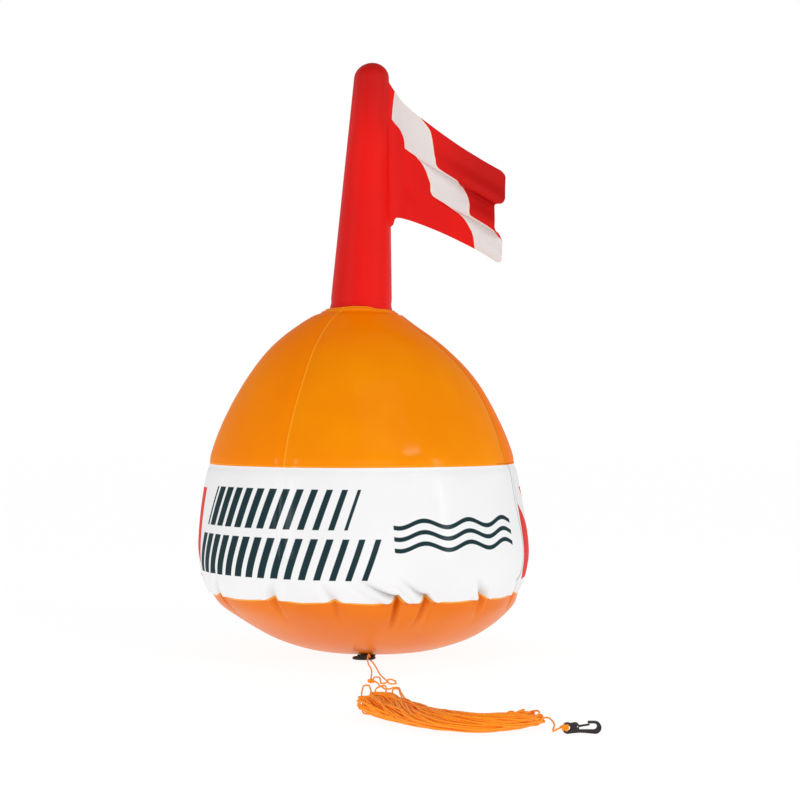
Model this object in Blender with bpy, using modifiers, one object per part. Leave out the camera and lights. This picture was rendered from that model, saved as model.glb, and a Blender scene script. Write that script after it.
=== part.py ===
"""Inflatable dive buoy with its mast, flag, line and snap hook.

Metres, +Z up. The origin is on the floor under the middle of the float, and the
front of the buoy faces -Y. The float stands on a small flat spot, and its line
lies on the floor in front of it.
"""
import math

import bmesh
import bpy
from mathutils import Vector

# The float: a turned shape, as radius, height, and how far its middle lies to the right
TOUCH_GAP = 0.0003
PATCH_THICKNESS = 0.0019
PATCH_RADIUS = 0.040
FLOAT_FOOT = PATCH_THICKNESS + TOUCH_GAP
FLOAT_TOP = 0.3760
FOOT_SHIFT = 0.0095
FLOAT_PROFILE = (
    (PATCH_RADIUS, FLOAT_FOOT, FOOT_SHIFT),
    (0.0660, 0.0034, 0.0098),
    (0.0910, 0.0096, 0.0100),
    (0.1140, 0.0187, 0.0100),
    (0.1372, 0.0330, 0.0085),
    (0.1562, 0.0490, 0.0052),
    (0.1703, 0.0680, 0.0012),
    (0.1788, 0.0900, 0.0003),
    (0.1813, 0.1170, 0.0000),
    (0.1757, 0.1650, -0.0016),
    (0.1663, 0.2100, -0.0020),
    (0.1500, 0.2530, -0.0026),
    (0.1248, 0.2975, -0.0032),
    (0.0952, 0.3320, -0.0062),
    (0.0608, 0.3590, -0.0076),
    (0.0355, FLOAT_TOP, -0.0034),
)
FLOAT_SEGMENTS = 96

# The white band between the two round welds, and the tucks along the lower weld
BAND_TOP = 0.2060
BAND_FOOT = 0.0675
WELD_DEPTH = 0.0010
TUCK_DEPTH = 0.0040
TUCK_RISE = 0.0070
TUCK_HALF_ANGLE = 4.5
TUCK_ANGLES = (-64, -33, -9.5, 12.5, 23, 47, 71, 94, 117, 139, 160, 184, 206, 229, 251, 273)

# The mast: a padded tube, wider at its foot, leaning to the right
MAST_FOOT = FLOAT_TOP + TOUCH_GAP
MAST_TOP = 0.6457
MAST_FOOT_RADIUS = 0.0341
MAST_TOP_RADIUS = 0.0193
MAST_FOOT_X = -0.0033
MAST_TOP_X = 0.0090
MAST_SEGMENTS = 40

# The flag's upper and lower edges from inside the mast to the free end, as X and Z
FLAG_UPPER_EDGE = (
    (0.0088, 0.6290),
    (0.0330, 0.6149),
    (0.0517, 0.5940),
    (0.0957, 0.5610),
    (0.1309, 0.5390),
    (0.1562, 0.5247),
)
FLAG_LOWER_EDGE = (
    (0.0088, 0.4560),
    (0.0297, 0.4653),
    (0.0385, 0.4752),
    (0.0781, 0.4620),
    (0.1243, 0.4400),
    (0.1510, 0.4235),
)
FLAG_THICKNESS = 0.0042
FLAG_ROWS = 30
# Its pleats overlap like shingles: where each one ends, as a share of the way down
PLEAT_ENDS = (0.0, 0.385, 0.69, 1.0)
PLEAT_DEPTH = 0.0085
PLEAT_RETURN = 0.16
FLAG_NOTCH = 0.0095
# The white stripe lies between two slanting lines over the flag
STRIPE_SLOPE = 1.32
STRIPE_EDGES = (-0.59, -0.04)
STRIPE_ROOT = 0.2

# The ring under the float, the strap that holds it, and how far they turn to the left
TAB_YAW = math.radians(-5.0)
TAB_WIDTH = 0.0155
TAB_START = 0.0125
STRAP_THICKNESS = 0.0012
RING_WIRE = 0.0026
RING_HALF_WIDTH = 0.0110
RING_SIDE = 0.0080
RING_CORNER = 0.0030
RING_BAR_REACH = 0.0840
EYE_INSIDE = RING_WIRE / 2 + TOUCH_GAP
EYE_OUTSIDE = EYE_INSIDE + STRAP_THICKNESS
RING_FRONT_HEIGHT = 0.0034

# The line and its route over the floor
LINE_DIAMETER = 0.0016
LINE_REST = LINE_DIAMETER / 2 + 0.00005
KNOT_REST = 0.0030
RING_TURN_RADIUS = 0.0034

# The snap hook stands on its back, and its flat side faces the front
HOOK_X = 0.1732
HOOK_Y = -0.5510
HOOK_THICKNESS = 0.0052
HOOK_EDGE = 0.0005
EYE_RADIUS = 0.0046
EYE_HOLE_RADIUS = 0.0022
HOOK_BEND_RADIUS = 0.0052
HOOK_LENGTH = 0.0324
SPINE_TOP = 0.0034
PIVOT = (0.0126, 0.0060)
PIN_RADIUS = 0.0006
PIN_CLEARANCE = 0.00008
SLOT_WIDTH = 0.0029
SLOT_LOW = (0.0106, 0.0040)
SLOT_HIGH = (0.0150, 0.0110)
BEND_INSIDE = (0.0262, 0.0060)
BEND_INSIDE_RADIUS = 0.0026
GATE_WIDTH = 0.0023
GATE_THICKNESS = 0.0014
GATE_TIP = (0.0228, 0.0076)
GATE_BOSS_RADIUS = 0.0014
GATE_EDGE = 0.0002

# The inflation valve, on the back of the upper panels: its radii and heights from the flange
VALVE_HEIGHT = 0.300
VALVE_PROFILE = (
    (0.0, 0.0),
    (0.0165, 0.0),
    (0.0165, 0.0008),
    (0.0090, 0.0018),
    (0.0072, 0.0026),
    (0.0072, 0.0078),
    (0.0085, 0.0082),
    (0.0085, 0.0102),
    (0.0060, 0.0112),
    (0.0, 0.0112),
)


def make_material(name, colour, roughness, metallic=0.0):
    material = bpy.data.materials.new(name)
    material.use_nodes = True
    shader = material.node_tree.nodes["Principled BSDF"]
    shader.inputs["Base Color"].default_value = (*colour, 1.0)
    shader.inputs["Roughness"].default_value = roughness
    shader.inputs["Metallic"].default_value = metallic
    return material


def make_collection(name):
    collection = bpy.data.collections.new(name)
    bpy.context.scene.collection.children.link(collection)
    return collection


def clear_scene():
    for item in list(bpy.data.objects):
        bpy.data.objects.remove(item, do_unlink=True)


clear_scene()
BUOY = make_collection("dive_buoy")
CUTTERS = make_collection("cutters")
ORANGE_VINYL = make_material("orange_vinyl", (0.88, 0.24, 0.005), 0.32)
WHITE_VINYL = make_material("white_vinyl", (0.90, 0.90, 0.90), 0.30)
RED_VINYL = make_material("red_vinyl", (0.76, 0.014, 0.009), 0.45)
BLACK_PLASTIC = make_material("black_plastic", (0.025, 0.022, 0.021), 0.38)
BLACK_WEBBING = make_material("black_webbing", (0.03, 0.03, 0.03), 0.80)
ORANGE_LINE = make_material("orange_line", (0.87, 0.20, 0.01), 0.60)
STEEL = make_material("steel", (0.55, 0.55, 0.56), 0.30, 1.0)
SOFT_VINYL = make_material("soft_clear_vinyl", (0.75, 0.74, 0.70), 0.35)


def add_object(name, data, materials, collection=BUOY):
    """Links a new object, with one material or a few of them."""
    item = bpy.data.objects.new(name, data)
    for material in materials:
        data.materials.append(material)
    collection.objects.link(item)
    return item


def mesh_object(name, bm, materials, collection=BUOY):
    """Turns a bmesh into an object with its faces pointing out and its round faces smooth."""
    bmesh.ops.recalc_face_normals(bm, faces=bm.faces)
    mesh = bpy.data.meshes.new(name)
    bm.to_mesh(mesh)
    bm.free()
    mesh.shade_smooth()
    mesh.set_sharp_from_angle(angle=math.radians(40))
    return add_object(name, mesh, materials, collection)


def as_cutter(item):
    item.hide_render = True
    item.display_type = "WIRE"
    return item


def add_boolean(item, other, operation):
    modifier = item.modifiers.new(operation.lower(), "BOOLEAN")
    modifier.operation = operation
    modifier.object = other
    modifier.solver = "EXACT"


def through_points(points, steps):
    """Points on a smooth curve through the given ones, with so many steps between two of them."""
    vectors = [Vector(point) for point in points]
    padded = [2 * vectors[0] - vectors[1], *vectors, 2 * vectors[-1] - vectors[-2]]
    result = []
    for before, start, end, after in zip(padded, padded[1:], padded[2:], padded[3:]):
        for step in range(steps):
            t = step / steps
            result.append(0.5 * (
                2 * start
                + (end - before) * t
                + (2 * before - 5 * start + 4 * end - after) * t ** 2
                + (3 * start - before - 3 * end + after) * t ** 3
            ))
    result.append(vectors[-1])
    return result


def turned(profile, segments):
    """Spins a list of (radius, height) about Z, from an axis point to an axis point."""
    bm = bmesh.new()
    points = [bm.verts.new((radius, 0.0, height)) for radius, height in profile]
    edges = [bm.edges.new(pair) for pair in zip(points, points[1:])]
    bmesh.ops.spin(
        bm,
        geom=points + edges,
        cent=(0.0, 0.0, 0.0),
        axis=(0.0, 0.0, 1.0),
        angle=2 * math.pi,
        steps=segments,
        use_merge=True,
    )
    bmesh.ops.remove_doubles(bm, verts=bm.verts, dist=0.00001)
    return bm


def bell(value, width):
    """1 at zero and almost nothing past twice the width."""
    return math.exp(-((value / width) ** 2))


def tuck_strength(angle):
    """How close an angle from the front, in degrees, is to one of the weld's tucks: 1 on it."""
    nearest = min(abs((angle - tuck + 180) % 360 - 180) for tuck in TUCK_ANGLES)
    return math.exp(-nearest / TUCK_HALF_ANGLE)


def make_float_body():
    outer = through_points(FLOAT_PROFILE, 2)
    shifts = {round(point.y, 6): point.z for point in outer}
    profile = [(point.x, point.y) for point in outer]
    bm = turned([(0.0, FLOAT_FOOT), *profile, (0.0, FLOAT_TOP)], FLOAT_SEGMENTS)
    for face in bm.faces:
        height = face.calc_center_median().z
        face.material_index = 1 if BAND_FOOT < height < BAND_TOP else 0
    for vert in bm.verts:
        radius = math.hypot(vert.co.x, vert.co.y)
        height = vert.co.z
        if radius > PATCH_RADIUS + 0.001 and height < BAND_TOP:
            angle = math.degrees(math.atan2(vert.co.x, -vert.co.y))
            tuck = tuck_strength(angle)
            inward = WELD_DEPTH * bell(height - BAND_FOOT, 0.008)
            inward += TUCK_DEPTH * tuck * bell(height - BAND_FOOT + 0.005, 0.018)
            shrink = (radius - inward) / radius
            vert.co.x *= shrink
            vert.co.y *= shrink
            vert.co.z += TUCK_RISE * (tuck - 0.3) * bell(height - BAND_FOOT, 0.020)
        vert.co.x += shifts[round(height, 6)]
    return mesh_object("float_body", bm, [ORANGE_VINYL, WHITE_VINYL])


def mast_centre(height):
    """X of the mast's middle at a height."""
    share = (height - MAST_FOOT) / (MAST_TOP - MAST_FOOT)
    return MAST_FOOT_X + (MAST_TOP_X - MAST_FOOT_X) * share


def make_mast():
    """The mast alone: straight sides and a round top."""
    shoulder = MAST_TOP - MAST_TOP_RADIUS * 0.92
    rings = 9
    profile = [(0.0, MAST_FOOT)]
    for ring in range(rings + 1):
        share = ring / rings
        radius = MAST_FOOT_RADIUS + (MAST_TOP_RADIUS - MAST_FOOT_RADIUS) * share
        profile.append((radius, MAST_FOOT + (shoulder - MAST_FOOT) * share))
    for step in range(1, 7):
        angle = math.radians(15 * step)
        rise = (MAST_TOP - shoulder) * math.sin(angle)
        profile.append((MAST_TOP_RADIUS * math.cos(angle), shoulder + rise))
    profile[-1] = (0.0, MAST_TOP)
    bm = turned(profile, MAST_SEGMENTS)
    for vert in bm.verts:
        vert.co.x += mast_centre(vert.co.z)
    return mesh_object("mast_and_flag", bm, [RED_VINYL, WHITE_VINYL])


def smooth_step(value):
    value = min(1.0, max(0.0, value))
    return value * value * (3 - 2 * value)


def pleat_swell(down):
    """How far a pleat stands to the front, from 0 to 1: it swells slowly and returns sharply."""
    for start, end in zip(PLEAT_ENDS, PLEAT_ENDS[1:]):
        if down <= end:
            share = (down - start) / (end - start)
            swell = math.sin(math.pi / 2 * min(1.0, share / (1 - PLEAT_RETURN)))
            if end < 1.0:
                swell *= 1 - smooth_step((share - 1 + PLEAT_RETURN) / PLEAT_RETURN)
            return swell
    return 1.0


def flag_point(along, down, upper, lower):
    """A point of the flag's middle sheet: along from the mast, and down from its upper edge."""
    place = along * (len(upper) - 1)
    index = min(int(place), len(upper) - 2)
    top = upper[index].lerp(upper[index + 1], place - index)
    foot = lower[index].lerp(lower[index + 1], place - index)
    point = top.lerp(foot, down)
    set_back = smooth_step((down - PLEAT_ENDS[1]) / 0.04) - smooth_step((down - PLEAT_ENDS[2]) / 0.04)
    loose = smooth_step((along - 0.15) / 0.45)
    depth = PLEAT_DEPTH * loose * (0.5 - pleat_swell(down))
    return Vector((point.x - FLAG_NOTCH * set_back * along ** 8, depth, point.y))


def make_flag():
    """The flag alone, a pleated sheet with thickness, whose inner end is inside the mast."""
    upper = through_points(FLAG_UPPER_EDGE, 5)
    lower = through_points(FLAG_LOWER_EDGE, 5)
    bm = bmesh.new()
    bmesh.ops.create_grid(bm, x_segments=len(upper) - 1, y_segments=FLAG_ROWS, size=0.5)
    for face in bm.faces:
        along = face.calc_center_median().x + 0.5
        down = 0.5 - face.calc_center_median().y
        offset = down - STRIPE_SLOPE * along
        white = STRIPE_EDGES[0] < offset < STRIPE_EDGES[1] and along > STRIPE_ROOT
        face.material_index = 1 if white else 0
    for vert in bm.verts:
        vert.co = flag_point(vert.co.x + 0.5, 0.5 - vert.co.y, upper, lower)
    flag = mesh_object("flag_sheet", bm, [RED_VINYL, WHITE_VINYL], CUTTERS)
    solidify = flag.modifiers.new("thickness", "SOLIDIFY")
    solidify.thickness = FLAG_THICKNESS
    solidify.offset = 0.0
    return as_cutter(flag)


def make_base_patch():
    bm = bmesh.new()
    bmesh.ops.create_cone(
        bm,
        cap_ends=True,
        segments=64,
        radius1=PATCH_RADIUS,
        radius2=PATCH_RADIUS,
        depth=PATCH_THICKNESS,
    )
    patch = mesh_object("base_patch", bm, [ORANGE_VINYL])
    patch.location = (FOOT_SHIFT, 0.0, PATCH_THICKNESS / 2)
    # The patch is cut away where the strap lies flat against the float
    bm = bmesh.new()
    bmesh.ops.create_cube(bm, size=1.0)
    notch_end = TAB_START - TOUCH_GAP
    notch_length = PATCH_RADIUS + 0.01 - notch_end
    for vert in bm.verts:
        vert.co.x *= TAB_WIDTH + 2 * TOUCH_GAP
        vert.co.y = vert.co.y * notch_length - notch_end - notch_length / 2
        vert.co.z *= 4 * PATCH_THICKNESS
    notch = as_cutter(mesh_object("patch_notch", bm, [], CUTTERS))
    notch.location = (FOOT_SHIFT, 0.0, 0.0)
    notch.rotation_euler.z = TAB_YAW
    add_boolean(patch, notch, "DIFFERENCE")
    return patch


def arc(centre, radius, start, end, steps):
    """Points on an arc, its angles in degrees."""
    angles = [math.radians(start + (end - start) * step / steps) for step in range(steps + 1)]
    return [(centre[0] + radius * math.cos(a), centre[1] + radius * math.sin(a)) for a in angles]


def flat_outline(name, outlines, thickness, edge, materials):
    """A flat plate from closed 2D outlines, the second and later ones being holes."""
    curve = bpy.data.curves.new(name, "CURVE")
    curve.dimensions = "2D"
    curve.fill_mode = "BOTH"
    curve.extrude = thickness / 2 - edge
    curve.bevel_depth = edge
    curve.bevel_resolution = 1
    curve.offset = -edge
    for outline in outlines:
        spline = curve.splines.new("POLY")
        spline.points.add(len(outline) - 1)
        for point, place in zip(spline.points, outline):
            point.co = (*place, 0.0, 1.0)
        spline.use_cyclic_u = True
    return add_object(name, curve, materials)


def made_mesh(item):
    """The same object as a mesh with its caps welded, in place of a curve."""
    bpy.context.view_layer.update()
    evaluated = item.evaluated_get(bpy.context.evaluated_depsgraph_get())
    mesh = bpy.data.meshes.new_from_object(evaluated)
    bm = bmesh.new()
    bm.from_mesh(mesh)
    bmesh.ops.remove_doubles(bm, verts=bm.verts, dist=0.000005)
    bmesh.ops.recalc_face_normals(bm, faces=bm.faces)
    bm.to_mesh(mesh)
    bm.free()
    name = item.name
    matrix = item.matrix_world.copy()
    collection = item.users_collection[0]
    bpy.data.objects.remove(item)
    result = bpy.data.objects.new(name, mesh)
    result.matrix_world = matrix
    collection.objects.link(result)
    return result


def tab_frame():
    """The empty that turns the strap and the ring a little to the left."""
    frame = bpy.data.objects.new("tab_frame", None)
    frame.location = (FOOT_SHIFT, 0.0, 0.0)
    frame.rotation_euler.z = TAB_YAW
    BUOY.objects.link(frame)
    return frame


def make_line_tab(frame):
    """The strap: flat against the float, then round the ring's straight bar. Drawn as reach, height."""
    reach = RING_BAR_REACH
    strap_top = PATCH_THICKNESS
    meeting = math.degrees(math.asin((EYE_OUTSIDE - strap_top) / EYE_OUTSIDE))
    outline = [(TAB_START, 0.0)]
    outline += arc((reach, EYE_OUTSIDE), EYE_OUTSIDE, -90, 180 + meeting, 20)
    outline += [(TAB_START, strap_top)]
    hole = arc((reach, EYE_OUTSIDE), EYE_INSIDE, 0, 345, 23)
    tab = flat_outline("line_tab", [outline, hole], TAB_WIDTH, 0.0, [BLACK_WEBBING])
    # The outline's first axis runs to the front, its second one up and its thickness sideways
    tab.rotation_euler = (math.radians(90), 0.0, math.radians(-90))
    tab.parent = frame
    return tab


def make_line_ring(frame):
    """A D-shaped ring of round wire: straight bar, two sides and a half circle."""
    bar = RING_BAR_REACH
    front = bar + RING_SIDE
    turn = RING_CORNER
    path = arc((RING_HALF_WIDTH - turn, -bar - turn), turn, 90, 0, 4)
    path += arc((0.0, -front), RING_HALF_WIDTH, 0, -180, 20)
    path += arc((-RING_HALF_WIDTH + turn, -bar - turn), turn, 180, 90, 4)
    curve = bpy.data.curves.new("line_ring", "CURVE")
    curve.dimensions = "3D"
    curve.bevel_depth = RING_WIRE / 2
    curve.bevel_resolution = 3
    spline = curve.splines.new("POLY")
    spline.points.add(len(path) - 1)
    slope = (RING_FRONT_HEIGHT - EYE_OUTSIDE) / (RING_SIDE + RING_HALF_WIDTH)
    for point, place in zip(spline.points, path):
        point.co = (*place, EYE_OUTSIDE + slope * (-place[1] - bar), 1.0)
    spline.use_cyclic_u = True
    ring = add_object("line_ring", curve, [BLACK_PLASTIC])
    ring.parent = frame
    return ring


def make_valve():
    """The mouth valve: a flange, a short stem and a plug pushed into it, turned about its axis."""
    valve = mesh_object("inflation_valve", turned(VALVE_PROFILE, 32), [SOFT_VINYL])
    points = through_points(FLOAT_PROFILE, 12)
    nearest = min(range(1, len(points) - 1), key=lambda i: abs(points[i].y - VALVE_HEIGHT))
    along = points[nearest + 1] - points[nearest - 1]
    outward = Vector((0.0, along.y, -along.x)).normalized()
    seat = Vector((points[nearest].z, points[nearest].x, points[nearest].y))
    valve.location = seat + outward * 2 * TOUCH_GAP
    valve.rotation_euler = outward.to_track_quat("Z", "Y").to_euler()
    return valve


def line_tube(name, route, steps):
    """A stretch of the line, on a smooth curve through the route's points."""
    points = through_points(route, steps)
    curve = bpy.data.curves.new(name, "CURVE")
    curve.dimensions = "3D"
    curve.bevel_depth = LINE_DIAMETER / 2
    curve.bevel_resolution = 2
    curve.use_fill_caps = True
    spline = curve.splines.new("POLY")
    spline.points.add(len(points) - 1)
    for point, place in zip(spline.points, points):
        point.co = (place.x, place.y, max(place.z, LINE_REST), 1.0)
    return add_object(name, curve, [ORANGE_LINE])


def knot_body(name, centre, size):
    """The outer shape of a knot: a lumpy egg."""
    bm = bmesh.new()
    bmesh.ops.create_uvsphere(bm, u_segments=14, v_segments=9, radius=1.0)
    for vert in bm.verts:
        lump = 1 + 0.06 * math.sin(3 * math.atan2(vert.co.y, vert.co.x) + 5 * vert.co.z)
        vert.co = Vector(size) * lump * vert.co
    knot = mesh_object(name, bm, [ORANGE_LINE])
    knot.location = centre
    return knot


# The route on the floor, chosen by hand as X, Y and Z of the line's centre
TURN_X = 0.0078
TURN_Y = -0.0970
TURN_Z = LINE_REST + RING_TURN_RADIUS
END_ROUTE = (
    (TURN_X, TURN_Y + RING_TURN_RADIUS, TURN_Z + 0.0005),
    (TURN_X - 0.0004, TURN_Y + 0.0025, TURN_Z + 0.0024),
    (TURN_X - 0.0010, TURN_Y, TURN_Z + RING_TURN_RADIUS),
    (TURN_X - 0.0016, TURN_Y - 0.0060, 0.0070),
    (0.0058, -0.1140, 0.0042),
    (0.0068, -0.1280, 0.0016),
    (0.0088, -0.1450, LINE_REST),
    (0.0106, -0.1700, LINE_REST),
    (0.0113, -0.2070, LINE_REST),
    (0.0108, -0.2400, LINE_REST),
    (0.0106, -0.2585, 0.0018),
)
RUN_ROUTE = (
    (TURN_X, TURN_Y + RING_TURN_RADIUS, TURN_Z - 0.0005),
    (TURN_X + 0.0004, TURN_Y + 0.0025, TURN_Z - 0.0024),
    (TURN_X + 0.0012, TURN_Y, LINE_REST),
    (0.0104, -0.1060, LINE_REST),
    (0.0124, -0.1220, LINE_REST),
    (0.0153, -0.1530, LINE_REST),
    (0.0185, -0.1900, LINE_REST),
    (0.0212, -0.2140, LINE_REST),
    (0.0245, -0.2340, LINE_REST),
    (0.0274, -0.2510, LINE_REST),
    (0.0294, -0.2670, LINE_REST),
    (0.0325, -0.2745, LINE_REST),
    (0.0354, -0.2680, LINE_REST),
    (0.0352, -0.2550, 0.0014),
    (0.0325, -0.2475, 0.0024),
    (0.0285, -0.2530, 0.0032),
    (0.0270, -0.2640, 0.0016),
    (0.0242, -0.2725, LINE_REST),
    (0.0214, -0.2670, LINE_REST),
    (0.0208, -0.2540, LINE_REST),
    (0.0202, -0.2390, LINE_REST),
    (0.0190, -0.2220, LINE_REST),
    (0.0170, -0.2130, LINE_REST),
    (0.0147, -0.2180, LINE_REST),
    (0.0137, -0.2310, LINE_REST),
    (0.0134, -0.2470, LINE_REST),
    (0.0133, -0.2590, 0.0022),
)
LEAD_ROUTE = (
    (0.0158, -0.2650, 0.0026),
    (0.0178, -0.2672, 0.0016),
    (0.0192, -0.2740, LINE_REST),
    (0.0208, -0.2830, LINE_REST),
    (0.0232, -0.2930, LINE_REST),
    (0.0254, -0.3040, LINE_REST),
    (0.0284, -0.3085, LINE_REST),
    (0.0312, -0.3000, LINE_REST),
    (0.0344, -0.2880, LINE_REST),
    (0.0378, -0.2920, LINE_REST),
    (0.0402, -0.3200, LINE_REST),
    (0.0433, -0.3544, LINE_REST),
    (0.0469, -0.3848, LINE_REST),
    (0.0498, -0.4073, LINE_REST),
    (0.0524, -0.4290, LINE_REST),
    (0.0544, -0.4480, 0.0018),
    (0.0548, -0.4610, 0.0035),
)
TAIL_ROUTE = (
    (0.1568, -0.5060, 0.0022),
    (0.1602, -0.5012, 0.0038),
    (0.1648, -0.4985, 0.0056),
    (0.1690, -0.5020, 0.0026),
    (0.1700, -0.5110, LINE_REST),
    (0.1686, -0.5240, LINE_REST),
    (0.1668, -0.5380, LINE_REST),
    (0.1661, -0.5490, 0.0016),
    (0.1673, -0.5550, 0.0034),
    (0.1692, -0.5570, 0.0050),
    (0.1714, -0.5572, 0.0057),
)
KNOT_CENTRE = (0.0117, -0.2640, KNOT_REST)
KNOT_SIZE = (0.0037, 0.0042, 0.0027)
HOOK_KNOT_CENTRE = (HOOK_X + 0.0022, HOOK_Y - 0.0058, 0.0058)
HOOK_KNOT_SIZE = (0.0032, 0.0027, 0.0028)
# The hank's middle line and half its width, from its loose end to the tail
HANK_STATIONS = (
    (0.0036, -0.4495, 0.0125),
    (0.0063, -0.4529, 0.0210),
    (0.0130, -0.4584, 0.0255),
    (0.0269, -0.4708, 0.0260),
    (0.0467, -0.4966, 0.0237),
    (0.0667, -0.5230, 0.0229),
    (0.0859, -0.5401, 0.0226),
    (0.1066, -0.5432, 0.0210),
    (0.1257, -0.5344, 0.0188),
    (0.1415, -0.5246, 0.0155),
    (0.1525, -0.5150, 0.0080),
)
HANK_FLATNESS = 0.36


def make_hank():
    """The outer shape of the hank: a fat tapered tube, pressed flat on the floor."""
    curve = bpy.data.curves.new("line_hank", "CURVE")
    curve.dimensions = "3D"
    curve.bevel_depth = 1.0
    curve.bevel_resolution = 5
    curve.use_fill_caps = True
    stations = through_points(HANK_STATIONS, 2)
    spline = curve.splines.new("POLY")
    spline.points.add(len(stations) - 1)
    for point, station in zip(spline.points, stations):
        point.co = (station.x, station.y, station.z, 1.0)
        point.radius = station.z
    hank = add_object("line_hank", curve, [ORANGE_LINE])
    hank.scale.z = HANK_FLATNESS
    hank.location.z = LINE_REST - LINE_DIAMETER / 2
    return hank


def hook_place(item):
    """Stands a plate drawn in X and Y on its edge, facing the front."""
    item.location = (HOOK_X, HOOK_Y, 0.0)
    item.rotation_euler.x = math.radians(90)


def make_hook_body():
    """One moulding: eye, shoulder with a slot for the gate, spine, bend and nose."""
    bend = (HOOK_LENGTH - HOOK_BEND_RADIUS, HOOK_BEND_RADIUS)
    outline = arc((EYE_RADIUS, EYE_RADIUS), EYE_RADIUS, 270, 60, 20)
    outline += [(0.0090, 0.0090), (0.0114, 0.0093), (0.0130, 0.0086), (0.0140, 0.0072)]
    outline += [(0.0140, 0.0040), (0.0146, SPINE_TOP)]
    outline += arc(BEND_INSIDE, BEND_INSIDE_RADIUS, -90, 90, 10)
    outline += [(0.0216, 0.0086), (0.0210, 0.0092), (0.0212, 0.0100), (0.0220, 0.0104)]
    outline += arc(bend, HOOK_BEND_RADIUS, 90, -90, 14)
    outline += [(0.0200, 0.0007), (0.0150, 0.0010), (0.0090, 0.0006)]
    hole = arc((EYE_RADIUS, EYE_RADIUS), EYE_HOLE_RADIUS, 0, 345, 15)
    hook = flat_outline("hook_body", [outline, hole], HOOK_THICKNESS, HOOK_EDGE, [BLACK_PLASTIC])
    hook_place(hook)
    hook = made_mesh(hook)
    add_boolean(hook, hook_cutter_slot(), "DIFFERENCE")
    add_boolean(hook, hook_cutter_bore(), "DIFFERENCE")
    return hook


def hook_cutter_slot():
    """The room for the gate's root, open towards the bend and above the gate."""
    bm = bmesh.new()
    bmesh.ops.create_cube(bm, size=1.0)
    for vert in bm.verts:
        vert.co.x = SLOT_HIGH[0] if vert.co.x > 0 else SLOT_LOW[0]
        vert.co.y = SLOT_HIGH[1] if vert.co.y > 0 else SLOT_LOW[1]
        vert.co.z *= SLOT_WIDTH
    slot = as_cutter(mesh_object("gate_slot", bm, [], CUTTERS))
    hook_place(slot)
    return slot


def pin_shape(name, radius, length, materials, collection):
    bm = bmesh.new()
    bmesh.ops.create_cone(
        bm,
        cap_ends=True,
        segments=16,
        radius1=radius,
        radius2=radius,
        depth=length,
    )
    item = mesh_object(name, bm, materials, collection)
    item.location = (HOOK_X + PIVOT[0], HOOK_Y, PIVOT[1])
    item.rotation_euler.x = math.radians(90)
    return item


def hook_cutter_bore():
    radius = PIN_RADIUS + PIN_CLEARANCE
    return as_cutter(pin_shape("pin_bore", radius, 2 * HOOK_THICKNESS, [], CUTTERS))


def make_hook_gate():
    """A short bar that turns on the pin and closes under the nose."""
    reach = Vector(GATE_TIP) - Vector(PIVOT)
    slope = math.degrees(math.atan2(reach.y, reach.x))
    half = GATE_THICKNESS / 2
    outline = arc((0.0, 0.0), GATE_BOSS_RADIUS, slope + 35, slope + 325, 14)
    outline += arc(reach - reach.normalized() * half, half, slope - 90, slope + 90, 6)
    hole = arc((0.0, 0.0), PIN_RADIUS + PIN_CLEARANCE, 11.25, 348.75, 15)
    gate = flat_outline("hook_gate", [outline, hole], GATE_WIDTH, GATE_EDGE, [BLACK_PLASTIC])
    gate.location = (HOOK_X + PIVOT[0], HOOK_Y, PIVOT[1])
    gate.rotation_euler.x = math.radians(90)
    return gate


def make_hook_knot():
    """The line's last knot, in front of the hook's eye, with its loop through the eye."""
    knot = knot_body("hook_knot", HOOK_KNOT_CENTRE, HOOK_KNOT_SIZE)
    wall = HOOK_THICKNESS / 2 + TOUCH_GAP + LINE_DIAMETER / 2
    inside = EYE_RADIUS - EYE_HOLE_RADIUS + TOUCH_GAP + LINE_DIAMETER / 2
    outside = -TOUCH_GAP - LINE_DIAMETER / 2
    corner = LINE_DIAMETER
    path = arc((inside - corner, -wall + corner), corner, -90, 0, 3)
    path += arc((inside - corner, wall - corner), corner, 0, 90, 3)
    path += arc((outside + corner, wall - corner), corner, 90, 180, 3)
    path += arc((outside + corner, -wall + corner), corner, 180, 270, 3)
    curve = bpy.data.curves.new("knot_loop", "CURVE")
    curve.dimensions = "3D"
    curve.bevel_depth = LINE_DIAMETER / 2 - 0.0001
    curve.bevel_resolution = 2
    spline = curve.splines.new("POLY")
    spline.points.add(len(path) - 1)
    for point, place in zip(spline.points, path):
        point.co = (*place, 0.0, 1.0)
    spline.use_cyclic_u = True
    loop = add_object("knot_loop", curve, [], CUTTERS)
    loop.location = (HOOK_X, HOOK_Y, EYE_RADIUS)
    loop = as_cutter(made_mesh(loop))
    add_boolean(knot, loop, "UNION")
    return knot


make_float_body()
mast = make_mast()
add_boolean(mast, make_flag(), "UNION")
make_base_patch()
frame = tab_frame()
make_line_tab(frame)
make_line_ring(frame)
make_valve()
line_tube("line_end", END_ROUTE, 2)
line_tube("line_run", RUN_ROUTE, 2)
line_tube("line_lead", LEAD_ROUTE, 2)
line_tube("line_tail", TAIL_ROUTE, 2)
knot_body("line_knot", KNOT_CENTRE, KNOT_SIZE)
make_hank()
make_hook_body()
make_hook_gate()
pin_shape("hook_pin", PIN_RADIUS, HOOK_THICKNESS - 0.0002, [STEEL], BUOY)
make_hook_knot()
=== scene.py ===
# %% [markdown]
# # A diver's inflatable surface buoy
#
# The real thing is a welded bag of sheet vinyl, about 36 cm across, with a padded mast, a small
# flag, and a thin orange line that lies on the floor in one loose hank. This script dresses the
# imported model: it makes every surface and every strand that the eye sees, around parts that
# stay where they are. The frame comes first, and its box is kept.

# %% Load the imported model
import math
import random

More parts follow.
